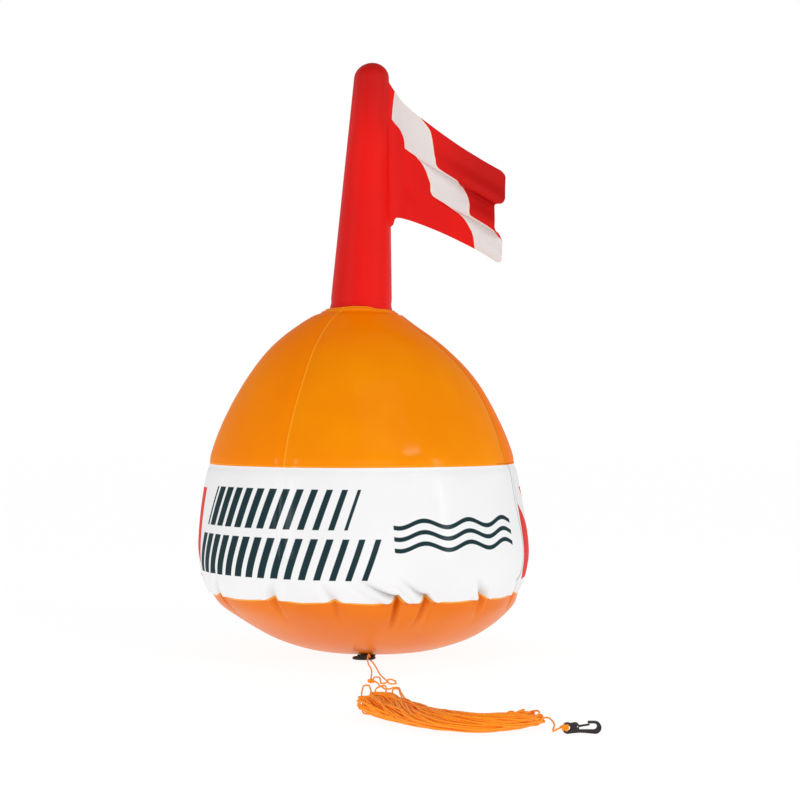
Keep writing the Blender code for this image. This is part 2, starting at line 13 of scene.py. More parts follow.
import bmesh
import bpy
import numpy as np
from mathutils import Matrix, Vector


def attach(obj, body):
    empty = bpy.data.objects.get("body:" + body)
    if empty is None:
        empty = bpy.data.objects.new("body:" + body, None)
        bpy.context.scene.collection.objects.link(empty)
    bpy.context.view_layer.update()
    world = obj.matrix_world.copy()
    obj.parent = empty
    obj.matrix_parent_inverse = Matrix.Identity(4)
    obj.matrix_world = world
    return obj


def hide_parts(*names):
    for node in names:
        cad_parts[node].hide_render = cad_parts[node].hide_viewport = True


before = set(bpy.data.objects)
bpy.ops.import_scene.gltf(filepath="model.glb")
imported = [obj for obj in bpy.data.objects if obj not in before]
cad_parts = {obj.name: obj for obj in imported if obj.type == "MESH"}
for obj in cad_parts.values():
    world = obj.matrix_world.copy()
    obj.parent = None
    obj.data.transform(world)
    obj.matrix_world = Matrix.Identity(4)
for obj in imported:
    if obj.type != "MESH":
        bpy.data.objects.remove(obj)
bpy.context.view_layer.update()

print("nodes:", ", ".join(sorted(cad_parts)))

# %% [markdown]
# ## The camera and the light
#
# The picture was taken from far away with a long lens, level, from a little under half of the
# buoy's height. A level camera keeps upright edges parallel. A lens of 90 mm on the default
# 36 mm sensor covers 2000 pixels' worth of distance for the 800 pixels of the picture.

# %% The camera
CAMERA_PLACE = (0.0396, -2.2, 0.275)
scene = bpy.context.scene
camera_data = bpy.data.cameras.new("camera")
camera_data.lens = 90.0
camera_data.sensor_width = 36.0
camera = bpy.data.objects.new("camera", camera_data)
camera.location = CAMERA_PLACE
camera.rotation_euler = (math.radians(90), 0.0, 0.0)
scene.collection.objects.link(camera)
scene.camera = camera

# %% [markdown]
# The picture is bright and almost without shadows. The world gives the even part of its light,
# and five area lights give the rest: one in front, one above, a tall strip at each side for the
# long highlights, and a small window for the spot on the dome. The Standard view keeps the
# orange as pure as it is; the default view would grey it.

# %% World and lights
ROOM_LIGHT = 0.96
CEILING_SHARE = 0.34
scene.view_settings.view_transform = "Standard"
world = bpy.data.worlds.new("white_room")
world.use_nodes = True
world_tree = world.node_tree
backdrop = world_tree.nodes["Background"]
backdrop.inputs["Color"].default_value = (1.0, 1.0, 1.0, 1.0)
# The room's light comes from the walls more than from above
sky = world_tree.nodes.new("ShaderNodeTexCoord")
up = world_tree.nodes.new("ShaderNodeSeparateXYZ")
world_tree.links.new(sky.outputs["Generated"], up.inputs[0])
from_above = world_tree.nodes.new("ShaderNodeMapRange")
from_above.inputs["From Max"].default_value = 0.8
from_above.inputs["To Min"].default_value = ROOM_LIGHT
from_above.inputs["To Max"].default_value = ROOM_LIGHT * CEILING_SHARE
world_tree.links.new(up.outputs["Z"], from_above.inputs["Value"])
# The camera itself sees plain white paper
seen = world_tree.nodes.new("ShaderNodeLightPath")
strength = world_tree.nodes.new("ShaderNodeMapRange")
strength.inputs["To Max"].default_value = 1.0
world_tree.links.new(seen.outputs["Is Camera Ray"], strength.inputs["Value"])
world_tree.links.new(from_above.outputs["Result"], strength.inputs["To Min"])
world_tree.links.new(strength.outputs["Result"], backdrop.inputs["Strength"])
scene.world = world


def add_area_light(name, place, aim, width, height, power):
    """An area light that looks at a point, its height upright."""
    data = bpy.data.lights.new(name, "AREA")
    data.shape = "RECTANGLE"
    data.size = width
    data.size_y = height
    data.energy = power
    light = bpy.data.objects.new(name, data)
    light.location = place
    light.rotation_euler = (Vector(aim) - Vector(place)).to_track_quat("-Z", "Y").to_euler()
    scene.collection.objects.link(light)


# For each light: its place, the point it looks at, its width, its height and its watts
LIGHTS = {
    "key_light": ((0.3, -2.7, 0.45), (0.0, 0.0, 0.15), 1.5, 1.5, 7.5),
    "top_light": ((0.6, -1.6, 2.2), (0.0, 0.0, 0.1), 1.6, 1.6, 5.0),
    "left_strip": ((-1.97, -1.54, 0.4), (0.0, 0.0, 0.2), 0.35, 1.4, 14.0),
    "right_strip": ((2.10, -1.35, 0.4), (0.0, 0.0, 0.2), 0.25, 1.4, 11.0),
    "small_window": ((1.36, -1.62, 1.53), (0.07, -0.15, 0.21), 0.50, 0.12, 4.0),
}
for light_name, light_form in LIGHTS.items():
    add_area_light(light_name, *light_form)
print("lights:", ", ".join(LIGHTS))


# %% [markdown]
# ## Small tools for materials
#
# A material is a tree of nodes. A few short functions keep the code readable: one adds a node
# and sets its fields, one links or sets a socket, and the others build the few kinds of node
# that every surface here needs: arithmetic, mixed colours, ranges, noise and bumps.

# %% Node helpers
def add_node(tree, kind, **fields):
    node = tree.nodes.new(kind)
    for field, value in fields.items():
        setattr(node, field, value)
    return node


def feed(tree, socket, value):
    """Links an output to the socket, or sets the socket to a plain value."""
    if isinstance(value, bpy.types.NodeSocket):
        tree.links.new(value, socket)
    else:
        socket.default_value = value


def arithmetic(tree, operation, *values):
    node = add_node(tree, "ShaderNodeMath", operation=operation)
    for socket, value in zip(node.inputs, values):
        feed(tree, socket, value)
    return node.outputs["Value"]


def mixed(tree, share, first, second, most=1.0):
    """Mixes two colours, with at most the given share of the second one."""
    if most < 1.0:
        share = arithmetic(tree, "MULTIPLY", share, most)
    node = add_node(tree, "ShaderNodeMix", data_type="RGBA")
    feed(tree, node.inputs["Factor"], share)
    colours = [socket for socket in node.inputs if socket.type == "RGBA"]
    for socket, value in zip(colours, (first, second)):
        feed(tree, socket, (*value, 1.0) if isinstance(value, tuple) else value)
    return next(socket for socket in node.outputs if socket.type == "RGBA")


def mapped(tree, value, low, high, to_low=0.0, to_high=1.0):
    """Maps a range smoothly onto another one."""
    node = add_node(tree, "ShaderNodeMapRange", interpolation_type="SMOOTHSTEP")
    names = ("Value", "From Min", "From Max", "To Min", "To Max")
    for name, given in zip(names, (value, low, high, to_low, to_high)):
        feed(tree, node.inputs[name], given)
    return node.outputs["Result"]


def texture_place(tree, kind="Object"):
    """The object's own coordinates, or its UV map."""
    return add_node(tree, "ShaderNodeTexCoord").outputs[kind]


def place_parts(tree, kind="Object"):
    """The X, Y and Z of a texture coordinate."""
    parts = add_node(tree, "ShaderNodeSeparateXYZ")
    feed(tree, parts.inputs[0], texture_place(tree, kind))
    return parts.outputs


def noise(tree, scale, detail, place=None):
    node = add_node(tree, "ShaderNodeTexNoise")
    feed(tree, node.inputs["Scale"], scale)
    feed(tree, node.inputs["Detail"], detail)
    feed(tree, node.inputs["Vector"], texture_place(tree) if place is None else place)
    return node.outputs["Fac"]


def add_bump(tree, shader, height, strength, distance):
    bump = add_node(tree, "ShaderNodeBump")
    bump.inputs["Strength"].default_value = strength
    bump.inputs["Distance"].default_value = distance
    feed(tree, bump.inputs["Height"], height)
    feed(tree, shader.inputs["Normal"], bump.outputs["Normal"])


def paint(tree, shader, colour):
    feed(tree, shader.inputs["Base Color"], colour)


def new_material(name, roughness, specular=0.5):
    material = bpy.data.materials.new(name)
    material.use_nodes = True
    shader = material.node_tree.nodes["Principled BSDF"]
    shader.inputs["Roughness"].default_value = roughness
    shader.inputs["Specular IOR Level"].default_value = specular
    return material, material.node_tree, shader


def new_group(name, inputs, outputs):
    """An empty node group with named sockets, and its two ends."""
    group = bpy.data.node_groups.new(name, "ShaderNodeTree")
    for socket_name, kind, default in inputs:
        socket = group.interface.new_socket(socket_name, in_out="INPUT", socket_type=kind)
        socket.default_value = default
    for socket_name, kind in outputs:
        group.interface.new_socket(socket_name, in_out="OUTPUT", socket_type=kind)
    return group, add_node(group, "NodeGroupInput"), add_node(group, "NodeGroupOutput")


def use_group(tree, group, **values):
    node = add_node(tree, "ShaderNodeGroup", node_tree=group)
    for name, value in values.items():
        feed(tree, node.inputs[name.replace("_", " ")], value)
    return node


# %% [markdown]
# Two more helpers end the making of a mesh: one takes what bmesh has modelled, and the other
# takes an object as its modifiers leave it.

# %% Mesh helpers
def mesh_from(bm, name):
    mesh = bpy.data.meshes.new(name)
    bm.to_mesh(mesh)
    bm.free()
    return mesh


def applied_mesh(item):
    """The mesh of an object with its modifiers applied; the object is removed."""
    bpy.context.view_layer.update()
    seen_item = item.evaluated_get(bpy.context.evaluated_depsgraph_get())
    mesh = bpy.data.meshes.new_from_object(seen_item)
    bpy.data.objects.remove(item)
    return mesh


# %% [markdown]
# ## The floor
#
# The floor is a plain pale sheet, a tenth of a millimetre under everything that lies on it. It
# isn't part of the buoy.

# %% The floor
FLOOR_DROP = 0.0001
FLOOR_GLOW = 0.91
FLOOR_SIZE = 14.0
bm = bmesh.new()
bmesh.ops.create_grid(bm, x_segments=1, y_segments=1, size=FLOOR_SIZE)
floor_mesh = mesh_from(bm, "floor")
floor = bpy.data.objects.new("floor", floor_mesh)
floor.location.z = -FLOOR_DROP
scene.collection.objects.link(floor)
floor_material, floor_tree, floor_shader = new_material("white_floor", 0.85, 0.1)
floor_shader.inputs["Base Color"].default_value = (0.12, 0.12, 0.12, 1.0)
floor_shader.inputs["Emission Color"].default_value = (1.0, 1.0, 1.0, 1.0)
floor_shader.inputs["Emission Strength"].default_value = FLOOR_GLOW
floor_mesh.materials.append(floor_material)
print("floor:", FLOOR_SIZE, "m")

# %% [markdown]
# ## The line's route
#
# The line is one cord, 20 m of it. It goes through the ring under the float, its short end is
# tied back to it, and the long part runs over the floor into the hank and on to the snap hook.
# A route is a few given points, and the cord follows a smooth curve through them.
# Straight runs joined by arcs would look like bent wire.

# %% Curves through points
LINE_DIAMETER = 0.0016
LINE_REST = LINE_DIAMETER / 2 + 0.00005
SHORTEST_STEP = 0.0001


def curve_through(points, steps):
    """Points on a smooth curve through the given ones, with so many steps between two of them."""
    vectors = [Vector(point) for point in points]
    padded = [2 * vectors[0] - vectors[1], *vectors, 2 * vectors[-1] - vectors[-2]]
    result = []
    for before, start, end, after in zip(padded, padded[1:], padded[2:], padded[3:]):
        for step in range(steps):
            t = step / steps
            result.append(0.5 * (
                2 * start
                + (end - before) * t
                + (2 * before - 5 * start + 4 * end - after) * t ** 2
                + (3 * start - before - 3 * end + after) * t ** 3
            ))
    result.append(vectors[-1])
    return result


def evenly_spaced(points, spacing):
    """The same path with its points at one even distance, as an array."""
    points = np.array([tuple(point) for point in points])
    lengths = np.linalg.norm(np.diff(points, axis=0), axis=1)
    along = np.concatenate([[0.0], np.cumsum(lengths)])
    count = max(2, int(round(along[-1] / spacing)) + 1)
    places = np.linspace(0.0, along[-1], count)
    return np.stack([np.interp(places, along, points[:, axis]) for axis in range(3)], axis=1)


def loose_curve(points, spacing):
    """
    A smooth curve through unevenly spaced points. Its time goes by the root of the distance, so
    that a short step beside a long one makes no kink.
    """
    points = np.array([tuple(point) for point in points])
    padded = np.vstack([2 * points[0] - points[1], points, 2 * points[-1] - points[-2]])
    result = []
    for before, start, end, after in zip(padded, padded[1:], padded[2:], padded[3:]):
        first, middle, last = (
            max(np.linalg.norm(far - near), SHORTEST_STEP) ** 0.5
            for near, far in ((before, start), (start, end), (end, after))
        )
        leaving = middle * (
            (start - before) / first - (end - before) / (first + middle) + (end - start) / middle
        )
        coming = middle * (
            (end - start) / middle - (after - start) / (middle + last) + (after - end) / last
        )
        steps = max(1, int(np.linalg.norm(end - start) / spacing))
        for t in np.arange(steps) / steps:
            result.append(
                (2 * t ** 3 - 3 * t ** 2 + 1) * start
                + (t ** 3 - 2 * t ** 2 + t) * leaving
                + (3 * t ** 2 - 2 * t ** 3) * end
                + (t ** 3 - t ** 2) * coming
            )
    result.append(points[-1])
    return result


def path_length(points):
    return float(np.linalg.norm(np.diff(np.array(points), axis=0), axis=1).sum())


def route(*points):
    """The points of a route; one that is given by two numbers lies on the floor."""
    return [point if len(point) == 3 else (*point, LINE_REST) for point in points]


# %% The routes over the floor
RING_TURN_RADIUS = 0.0034
TURN_X = 0.0078
TURN_Y = -0.0970
TURN_Z = LINE_REST + RING_TURN_RADIUS
END_ROUTE = route(
    (TURN_X, TURN_Y + RING_TURN_RADIUS, TURN_Z + 0.0005),
    (TURN_X - 0.0004, TURN_Y + 0.0025, TURN_Z + 0.0024),
    (TURN_X - 0.0010, TURN_Y, TURN_Z + RING_TURN_RADIUS),
    (TURN_X - 0.0016, TURN_Y - 0.0060, 0.0070), (0.0058, -0.1140, 0.0042),
    (0.0068, -0.1280, 0.0016), (0.0088, -0.1450), (0.0106, -0.1700), (0.0113, -0.2070),
    (0.0108, -0.2400), (0.0106, -0.2585, 0.0018),
)
RUN_ROUTE = route(
    (TURN_X, TURN_Y + RING_TURN_RADIUS, TURN_Z - 0.0005),
    (TURN_X + 0.0004, TURN_Y + 0.0025, TURN_Z - 0.0024), (TURN_X + 0.0012, TURN_Y),
    (0.0104, -0.1060), (0.0124, -0.1220), (0.0153, -0.1530), (0.0185, -0.1900), (0.0212, -0.2140),
    (0.0245, -0.2340), (0.0274, -0.2510), (0.0294, -0.2670), (0.0325, -0.2745), (0.0354, -0.2680),
    (0.0352, -0.2550, 0.0014), (0.0325, -0.2475, 0.0024), (0.0285, -0.2530, 0.0032),
    (0.0270, -0.2640, 0.0016), (0.0242, -0.2725), (0.0214, -0.2670), (0.0208, -0.2540),
    (0.0202, -0.2390), (0.0190, -0.2220), (0.0170, -0.2130), (0.0147, -0.2180), (0.0137, -0.2310),
    (0.0134, -0.2470), (0.0133, -0.2590, 0.0022),
)
LEAD_ROUTE = route(
    (0.0158, -0.2650, 0.0026), (0.0178, -0.2672, 0.0016), (0.0192, -0.2740), (0.0208, -0.2830),
    (0.0232, -0.2930), (0.0254, -0.3040), (0.0284, -0.3085), (0.0312, -0.3000), (0.0344, -0.2880),
    (0.0378, -0.2920), (0.0402, -0.3200), (0.0433, -0.3544), (0.0469, -0.3848), (0.0498, -0.4073),
    (0.0524, -0.4290), (0.0544, -0.4480, 0.0018), (0.0548, -0.4610, 0.0035),
)
TAIL_ROUTE = route(
    (0.1568, -0.5060, 0.0022), (0.1602, -0.5012, 0.0038), (0.1648, -0.4985, 0.0056),
    (0.1690, -0.5020, 0.0026), (0.1700, -0.5110), (0.1686, -0.5240), (0.1668, -0.5380),
    (0.1661, -0.5490, 0.0016), (0.1673, -0.5550, 0.0034), (0.1692, -0.5570, 0.0050),
    (0.1714, -0.5572, 0.0057),
)
KNOT_CENTRE = (0.0117, -0.2640, 0.0030)
HANK_STATIONS = (
    (0.0036, -0.4495, 0.0125), (0.0063, -0.4529, 0.0210), (0.0130, -0.4584, 0.0255),
    (0.0269, -0.4708, 0.0260), (0.0467, -0.4966, 0.0237), (0.0667, -0.5230, 0.0229),
    (0.0859, -0.5401, 0.0226), (0.1066, -0.5432, 0.0210), (0.1257, -0.5344, 0.0188),
    (0.1415, -0.5246, 0.0155), (0.1525, -0.5150, 0.0080),
)
HANK_FLATNESS = 0.36

# %% [markdown]
# ## The hank
#
# The line was wound to and fro by hand, so it is nearly a hundred strands side by side, with a
# loop at each end. Copies of one strand would look combed. Here each strand gets its own place
# in the hank's section and drifts as it goes, and ninety rounds of pushing apart give it the
# packing of a real bundle: no two strands share a place, and none sticks out of the outline.

# %% The hank's middle line
STRANDS = 95
HANK_SLICES = 40
STRAND_PITCH = 0.00172
HANK_FILL = 0.60
RIM_POWER = 0.36
LEFT_HEAP = 0.34
RIGHT_HEAP = 0.45
RIGHT_FLARE = 0.30
RIGHT_END_STEP = 0.001
LEFT_END_STEP = 0.017
FEWEST_AT_END = 3
LEAD_COMES_IN = 0.062
TAIL_LEAVES = 0.002
rng = random.Random(7)

hank_line = np.array([tuple(point) for point in curve_through(HANK_STATIONS, 24)])
hank_steps = np.linalg.norm(np.diff(hank_line[:, :2], axis=0), axis=1)
hank_along = np.concatenate([[0.0], np.cumsum(hank_steps)])
HANK_LENGTH = float(hank_along[-1])


def hank_frame(place):
    """The middle, half width, direction and sideways direction of the hank at a distance along it."""
    middle = np.array([np.interp(place, hank_along, hank_line[:, axis]) for axis in (0, 1)])
    half_width = float(np.interp(place, hank_along, hank_line[:, 2]))
    behind, ahead = (
        np.array([np.interp(near, hank_along, hank_line[:, axis]) for axis in (0, 1)])
        for near in (place - 0.004, place + 0.004)
    )
    direction = (ahead - behind) / np.linalg.norm(ahead - behind)
    return middle, half_width, direction, np.array([-direction[1], direction[0]])


def near_right_end(place):
    return np.exp(-(((HANK_LENGTH - place) / 0.024) ** 2))


def heap(place):
    """The bundle stands higher at its two ends, where the turns lie on each other."""
    return 1 + LEFT_HEAP * np.exp(-((place / 0.035) ** 2)) + RIGHT_HEAP * near_right_end(place)


def room_for_strands(place):
    """How many strands the section there holds."""
    half_width = float(np.interp(place, hank_along, hank_line[:, 2]))
    half_height = HANK_FLATNESS * half_width
    radius = LINE_DIAMETER / 2
    return HANK_FILL * (half_width - radius) * (half_height - radius) / radius ** 2


# %% Where each strand starts and ends
slice_places = np.linspace(0.0, HANK_LENGTH, HANK_SLICES)
fine_places = np.linspace(0.0, HANK_LENGTH, 400)
room = np.array([room_for_strands(place) for place in fine_places])
widest = int(np.argmax(room))


def end_place(rank, to_the_right):
    """The rank-th longest strand turns back where the section has no room for more."""
    side = slice(widest, None) if to_the_right else slice(widest)
    fits = fine_places[side][room[side] >= rank + FEWEST_AT_END]
    return fits[-1] - RIGHT_END_STEP if to_the_right else fits[0] + LEFT_END_STEP


def turn_places(to_the_right):
    """One turning place for each pair of neighbouring strands, in random order."""
    pairs = STRANDS // 2
    places = [end_place(2 * k, to_the_right) for k in range(pairs)]
    rng.shuffle(places)
    return places


right_turns = turn_places(True)
left_turns = turn_places(False)
right_turns.append(HANK_LENGTH - TAIL_LEAVES)
left_turns.insert(0, LEAD_COMES_IN)
strand_right = [right_turns[index // 2] for index in range(STRANDS)]
strand_left = [left_turns[(index + 1) // 2] for index in range(STRANDS)]

# %% [markdown]
# The order in which the strands are laid matters too. A cord can't turn back into the strand
# right beside it, so the next strand is picked a few diameters away, which gives each loop
# its room.

# %% The strands' order and first places in the section
def disc_places(count):
    """Places in a disc of radius 1, closer together towards its rim, where the strands show."""
    golden = math.pi * (3 - math.sqrt(5))
    places = []
    for k in range(count):
        radius = ((k + 0.5) / count) ** RIM_POWER
        places.append((radius * math.cos(k * golden), radius * math.sin(k * golden)))
    return places


def laid_order(places, low=0.38, high=0.75):
    """Visits every place, each hop neither short nor long where that can be."""
    left = list(places)
    order = [left.pop(0)]
    while left:
        here = order[-1]
        gaps = [math.hypot(here[0] - p[0], HANK_FLATNESS * (here[1] - p[1])) for p in left]
        good = [k for k, gap in enumerate(gaps) if low < gap < high]
        nearest = min(range(len(left)), key=lambda k: abs(gaps[k] - low))
        order.append(left.pop(rng.choice(good) if good else nearest))
    return order


strand_places = laid_order(disc_places(STRANDS))

# %% Push the strands apart, slice by slice
TWIST = (math.radians(-130), math.radians(60))
# Every eighth strand crosses the others on a steep slant
CROSSES_EACH = 8
CROSSING = 2.2
PUSH_ROUNDS = 90
PUSH_SHARE = 0.28
STRAND_MARGIN = 0.003
sections = np.array([hank_frame(place)[1] for place in slice_places])
half_wide = np.maximum(sections - LINE_DIAMETER / 2, 0.0012)
half_wide = half_wide * (1 + RIGHT_FLARE * near_right_end(slice_places))
half_high = np.maximum(HANK_FLATNESS * sections - LINE_DIAMETER / 2, 0.0009) * heap(slice_places)
share = np.linspace(0.0, 1.0, HANK_SLICES)
bundle = np.zeros((HANK_SLICES, STRANDS, 2))
present = np.zeros((HANK_SLICES, STRANDS), bool)
for index, (u, v) in enumerate(strand_places):
    radius = math.hypot(u, v)
    phase = math.atan2(v, u)
    drift = rng.uniform(-1.7, 1.7) * (CROSSING if index % CROSSES_EACH == 3 else 1.0)
    sway = rng.uniform(0, 2 * math.pi)
    turn = phase + TWIST[0] * (1 - share) + TWIST[1] * share + drift * (share - 0.5)
    turn = turn + 0.40 * np.sin(6.0 * share + sway) + 0.20 * np.sin(17.0 * share + 2.3 * sway)
    reach = radius * (1 + 0.16 * np.sin(9.0 * share + 2 * sway))
    bundle[:, index, 0] = reach * np.cos(turn) * half_wide
    bundle[:, index, 1] = reach * np.sin(turn) * half_high
    present[:, index] = slice_places >= strand_left[index] - STRAND_MARGIN
    present[:, index] &= slice_places <= strand_right[index] + STRAND_MARGIN

both_present = present[:, :, None] & present[:, None, :]
both_present &= ~np.eye(STRANDS, dtype=bool)[None]
half_sizes = np.stack([half_wide, half_high], axis=1)[:, None]
for _ in range(PUSH_ROUNDS):
    offset = bundle[:, :, None, :] - bundle[:, None, :, :]
    gap = np.sqrt((offset ** 2).sum(axis=3)) + 1e-9
    push = np.where(both_present, np.clip(STRAND_PITCH - gap, 0.0, None), 0.0)
    bundle += PUSH_SHARE * (offset / gap[..., None] * push[..., None]).sum(axis=2)
    smooth = bundle.copy()
    smooth[1:-1] = 0.5 * bundle[1:-1] + 0.25 * (bundle[:-2] + bundle[2:])
    bundle = 0.75 * bundle + 0.25 * smooth
    size = np.sqrt(((bundle / half_sizes) ** 2).sum(axis=2))
    bundle /= np.maximum(size, 1.0)[..., None]

final_gap = np.sqrt(((bundle[:, :, None, :] - bundle[:, None, :, :]) ** 2).sum(axis=3))
crowded = (both_present & (final_gap < 0.65 * LINE_DIAMETER)).any(axis=2)
print(f"hank {1000 * HANK_LENGTH:.0f} mm, {crowded.sum() / present.sum():.1%} of it too crowded")


# %% Strands and turns as one path
def strand_point(index, place):
    """A point of one strand in the row frame, at a distance along the hank."""
    across, up = (np.interp(place, slice_places, bundle[:, index, axis]) for axis in (0, 1))
    middle, half_width, _, sideways = hank_frame(place)
    ground = middle + sideways * across
    height = HANK_FLATNESS * half_width * heap(place)
    height = max(LINE_REST, LINE_REST - LINE_DIAMETER / 2 + height + up)
    return np.array([ground[0], ground[1], height])


TURN_ROOM = 0.0038
LOOSE_SHARE = 0.42
LEFT_AIM = (-0.98, -0.20)


def turn_points(first, second, place, outward):
    """A loop from one strand to the next at the hank's end, never tighter than a cord bends."""
    start = strand_point(first, place)
    end = strand_point(second, place)
    direction = hank_frame(place)[2] if outward > 0 else np.array(LEFT_AIM)
    ahead = np.array([direction[0], direction[1], 0.0])
    across = end - start
    half = np.linalg.norm(across) / 2
    across = across / (2 * half + 1e-9)
    middle = (start + end) / 2
    radius = max(half, TURN_ROOM)
    flare = radius - half
    centre = 0.0005 + 0.4 * flare + 1.4 * math.sqrt(max(flare, 0.0) * radius)
    if outward < 0:
        centre = min(centre, 0.0035)
    loose = rng.random() < LOOSE_SHARE
    reach = rng.uniform(0.001, 0.008 if outward > 0 else 0.004) if loose else 0.0
    lift = rng.uniform(0.001, 0.005) if loose else 0.0
    points = []
    for angle in (0, 30, 60, 90, 120, 150, 180):
        rise = math.sin(math.radians(angle))
        place_ahead = centre + (0.85 * radius + reach) * rise
        point = middle - across * radius * math.cos(math.radians(angle)) + ahead * place_ahead
        point[2] = max(point[2] + lift * rise, LINE_REST)
        points.append(point)
    return points


# Three turns at the left end run out over the floor towards the ring and back
FAR_LOOPS = {
    3: (
        (0.0075, -0.4290, 0.0050), (0.0060, -0.4000), (0.0042, -0.3600), (0.0038, -0.3200),
        (0.0046, -0.2880), (0.0066, -0.2700), (0.0090, -0.2740), (0.0112, -0.2960),
        (0.0128, -0.3300), (0.0150, -0.3700), (0.0160, -0.4050), (0.0150, -0.4320, 0.0050),
    ),
    11: (
        (0.0170, -0.4300, 0.0080), (0.0185, -0.3980, 0.0040), (0.0170, -0.3500), (0.0165, -0.3080),
        (0.0195, -0.2900), (0.0235, -0.2880, LINE_REST + 0.0016),
        (0.0262, -0.3020, LINE_REST + 0.0016), (0.0262, -0.3300), (0.0240, -0.3700),
        (0.0225, -0.4100), (0.0215, -0.4330, 0.0060),
    ),
    19: (
        (0.0280, -0.4330, 0.0080), (0.0300, -0.4080, 0.0030), (0.0320, -0.3700), (0.0325, -0.3300),
        (0.0330, -0.3060), (0.0355, -0.2950, LINE_REST + 0.0016), (0.0382, -0.3040),
        (0.0395, -0.3300), (0.0420, -0.3640), (0.0452, -0.3930), (0.0480, -0.4200),
        (0.0470, -0.4430, 0.0060),
    ),
}


def hank_path():
    """Every strand and turn, from where the lead comes in to where the tail leaves."""
    path = []
    for index in range(STRANDS):
        rightwards = index % 2 == 0
        start = strand_left[index] if rightwards else strand_right[index]
        end = strand_right[index] if rightwards else strand_left[index]
        count = max(4, int(abs(end - start) / 0.011))
        path += [strand_point(index, start + (end - start) * k / count) for k in range(count + 1)]
        if index in FAR_LOOPS:
            path += [np.array(point) for point in route(*FAR_LOOPS[index])]
        elif index + 1 < STRANDS:
            path += turn_points(index, index + 1, end, 1 if rightwards else -1)
    return path


def smoothed(points, rounds):
    """Takes the last kinks out of a path whose points are evenly spaced; its ends stay."""
    points = points.copy()
    for _ in range(rounds):
        points[1:-1] = 0.5 * points[1:-1] + 0.25 * (points[:-2] + points[2:])
        points[:, 2] = np.maximum(points[:, 2], LINE_REST)
    return points


def eased(points, tightest, rounds=160):
    """Moves only the points where the cord bends too tightly, until hardly one does."""
    points = points.copy()
    for _ in range(rounds):
        step = np.linalg.norm(points[2:] - points[:-2], axis=1) / 2
        pull = (points[:-2] + points[2:]) / 2 - points[1:-1]
        allowed = step ** 2 / (2 * tightest)
        size = np.linalg.norm(pull, axis=1) + 1e-9
        points[1:-1] += 0.5 * np.clip(1 - allowed / size, 0.0, 1.0)[:, None] * pull
        points[:, 2] = np.maximum(points[:, 2], LINE_REST)
    return points


TIGHTEST_BEND = 2 * LINE_DIAMETER
LINE_SPACING = 0.0019
FINE_SPACING = 0.0012
through_knot = [(0.0144, -0.2622, 0.0027)]
main_points = [*RUN_ROUTE, *through_knot, *LEAD_ROUTE, *hank_path(), *TAIL_ROUTE]
main_path, end_path = (
    smoothed(evenly_spaced(loose_curve(points, FINE_SPACING), LINE_SPACING), 2)
    for points in (main_points, END_ROUTE)
)
main_path = evenly_spaced(eased(main_path, TIGHTEST_BEND), LINE_SPACING)
MAIN_LENGTH = path_length(main_path)
END_LENGTH = path_length(end_path)
print(f"line: {MAIN_LENGTH:.2f} m long, {len(main_path)} points, its tied end {END_LENGTH:.3f} m")

# %% [markdown]
# ## Cord as a mesh
#
# A curve with a round bevel is Blender's own way to make a tube. The curve is turned into a
# mesh here, because a mesh keeps its UV map, where one side runs along the cord and the other
# goes round it: the laid strands of the cord are drawn in that map.

# %% Tubes
TUBE_SIDES = 2


def curve_mesh(name, paths, radius, cyclic=False):
    """One mesh of round tubes, each along its own path."""
    curve = bpy.data.curves.new(name, "CURVE")
    curve.dimensions = "3D"
    curve.bevel_depth = radius
    curve.bevel_resolution = TUBE_SIDES
    curve.use_fill_caps = not cyclic
    for path in paths:
        spline = curve.splines.new("POLY")
        spline.points.add(len(path) - 1)
        flat = np.ones((len(path), 4))
        flat[:, :3] = np.array([tuple(point) for point in path])
        spline.points.foreach_set("co", flat.ravel())
        spline.use_cyclic_u = cyclic
    item = bpy.data.objects.new(name, curve)
    scene.collection.objects.link(item)
    mesh = applied_mesh(item)
    bpy.data.curves.remove(curve)
    bm = bmesh.new()
    bm.from_mesh(mesh)
    bmesh.ops.remove_doubles(bm, verts=bm.verts, dist=0.000002)
    bmesh.ops.recalc_face_normals(bm, faces=bm.faces)
    bm.to_mesh(mesh)
    bm.free()
    mesh.name = name
    mesh.shade_smooth()
    return mesh


def add_piece(name, mesh, materials, body="buoy"):
    """A finished piece at the origin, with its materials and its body."""
    piece = bpy.data.objects.new(name, mesh)
    mesh.name = name
    for material in materials[len(mesh.materials):]:
        mesh.materials.append(material)
    scene.collection.objects.link(piece)
    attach(piece, body)
    return piece


# %% [markdown]
# The cord is three thin strands laid round each other. At a thickness of 1.6 mm that shows as
# fine slanting grooves, so it is a bump pattern in the UV map and not geometry: a sine wave
# whose phase grows both along the cord and round it.

# %% The cord's material
LAY_LENGTH = 0.0044
LAID_STRANDS = 3
CORD_PAINTED_GLOW = 0.09
laid_group, laid_in, laid_out = new_group(
    "laid_cord",
    (("Turns", "NodeSocketFloat", 100.0),),
    (("Groove", "NodeSocketFloat"), ("Fleck", "NodeSocketFloat")),
)
laid_uv = place_parts(laid_group, "UV")
turns_along = arithmetic(laid_group, "MULTIPLY", laid_uv["X"], laid_in.outputs["Turns"])
phase = arithmetic(laid_group, "MULTIPLY_ADD", laid_uv["Y"], float(LAID_STRANDS), turns_along)
wave = arithmetic(laid_group, "SINE", arithmetic(laid_group, "MULTIPLY", phase, 2 * math.pi))
feed(laid_group, laid_out.inputs["Groove"], arithmetic(laid_group, "MULTIPLY_ADD", wave, 0.5, 0.5))
feed(laid_group, laid_out.inputs["Fleck"], noise(laid_group, 160.0, 2.0))


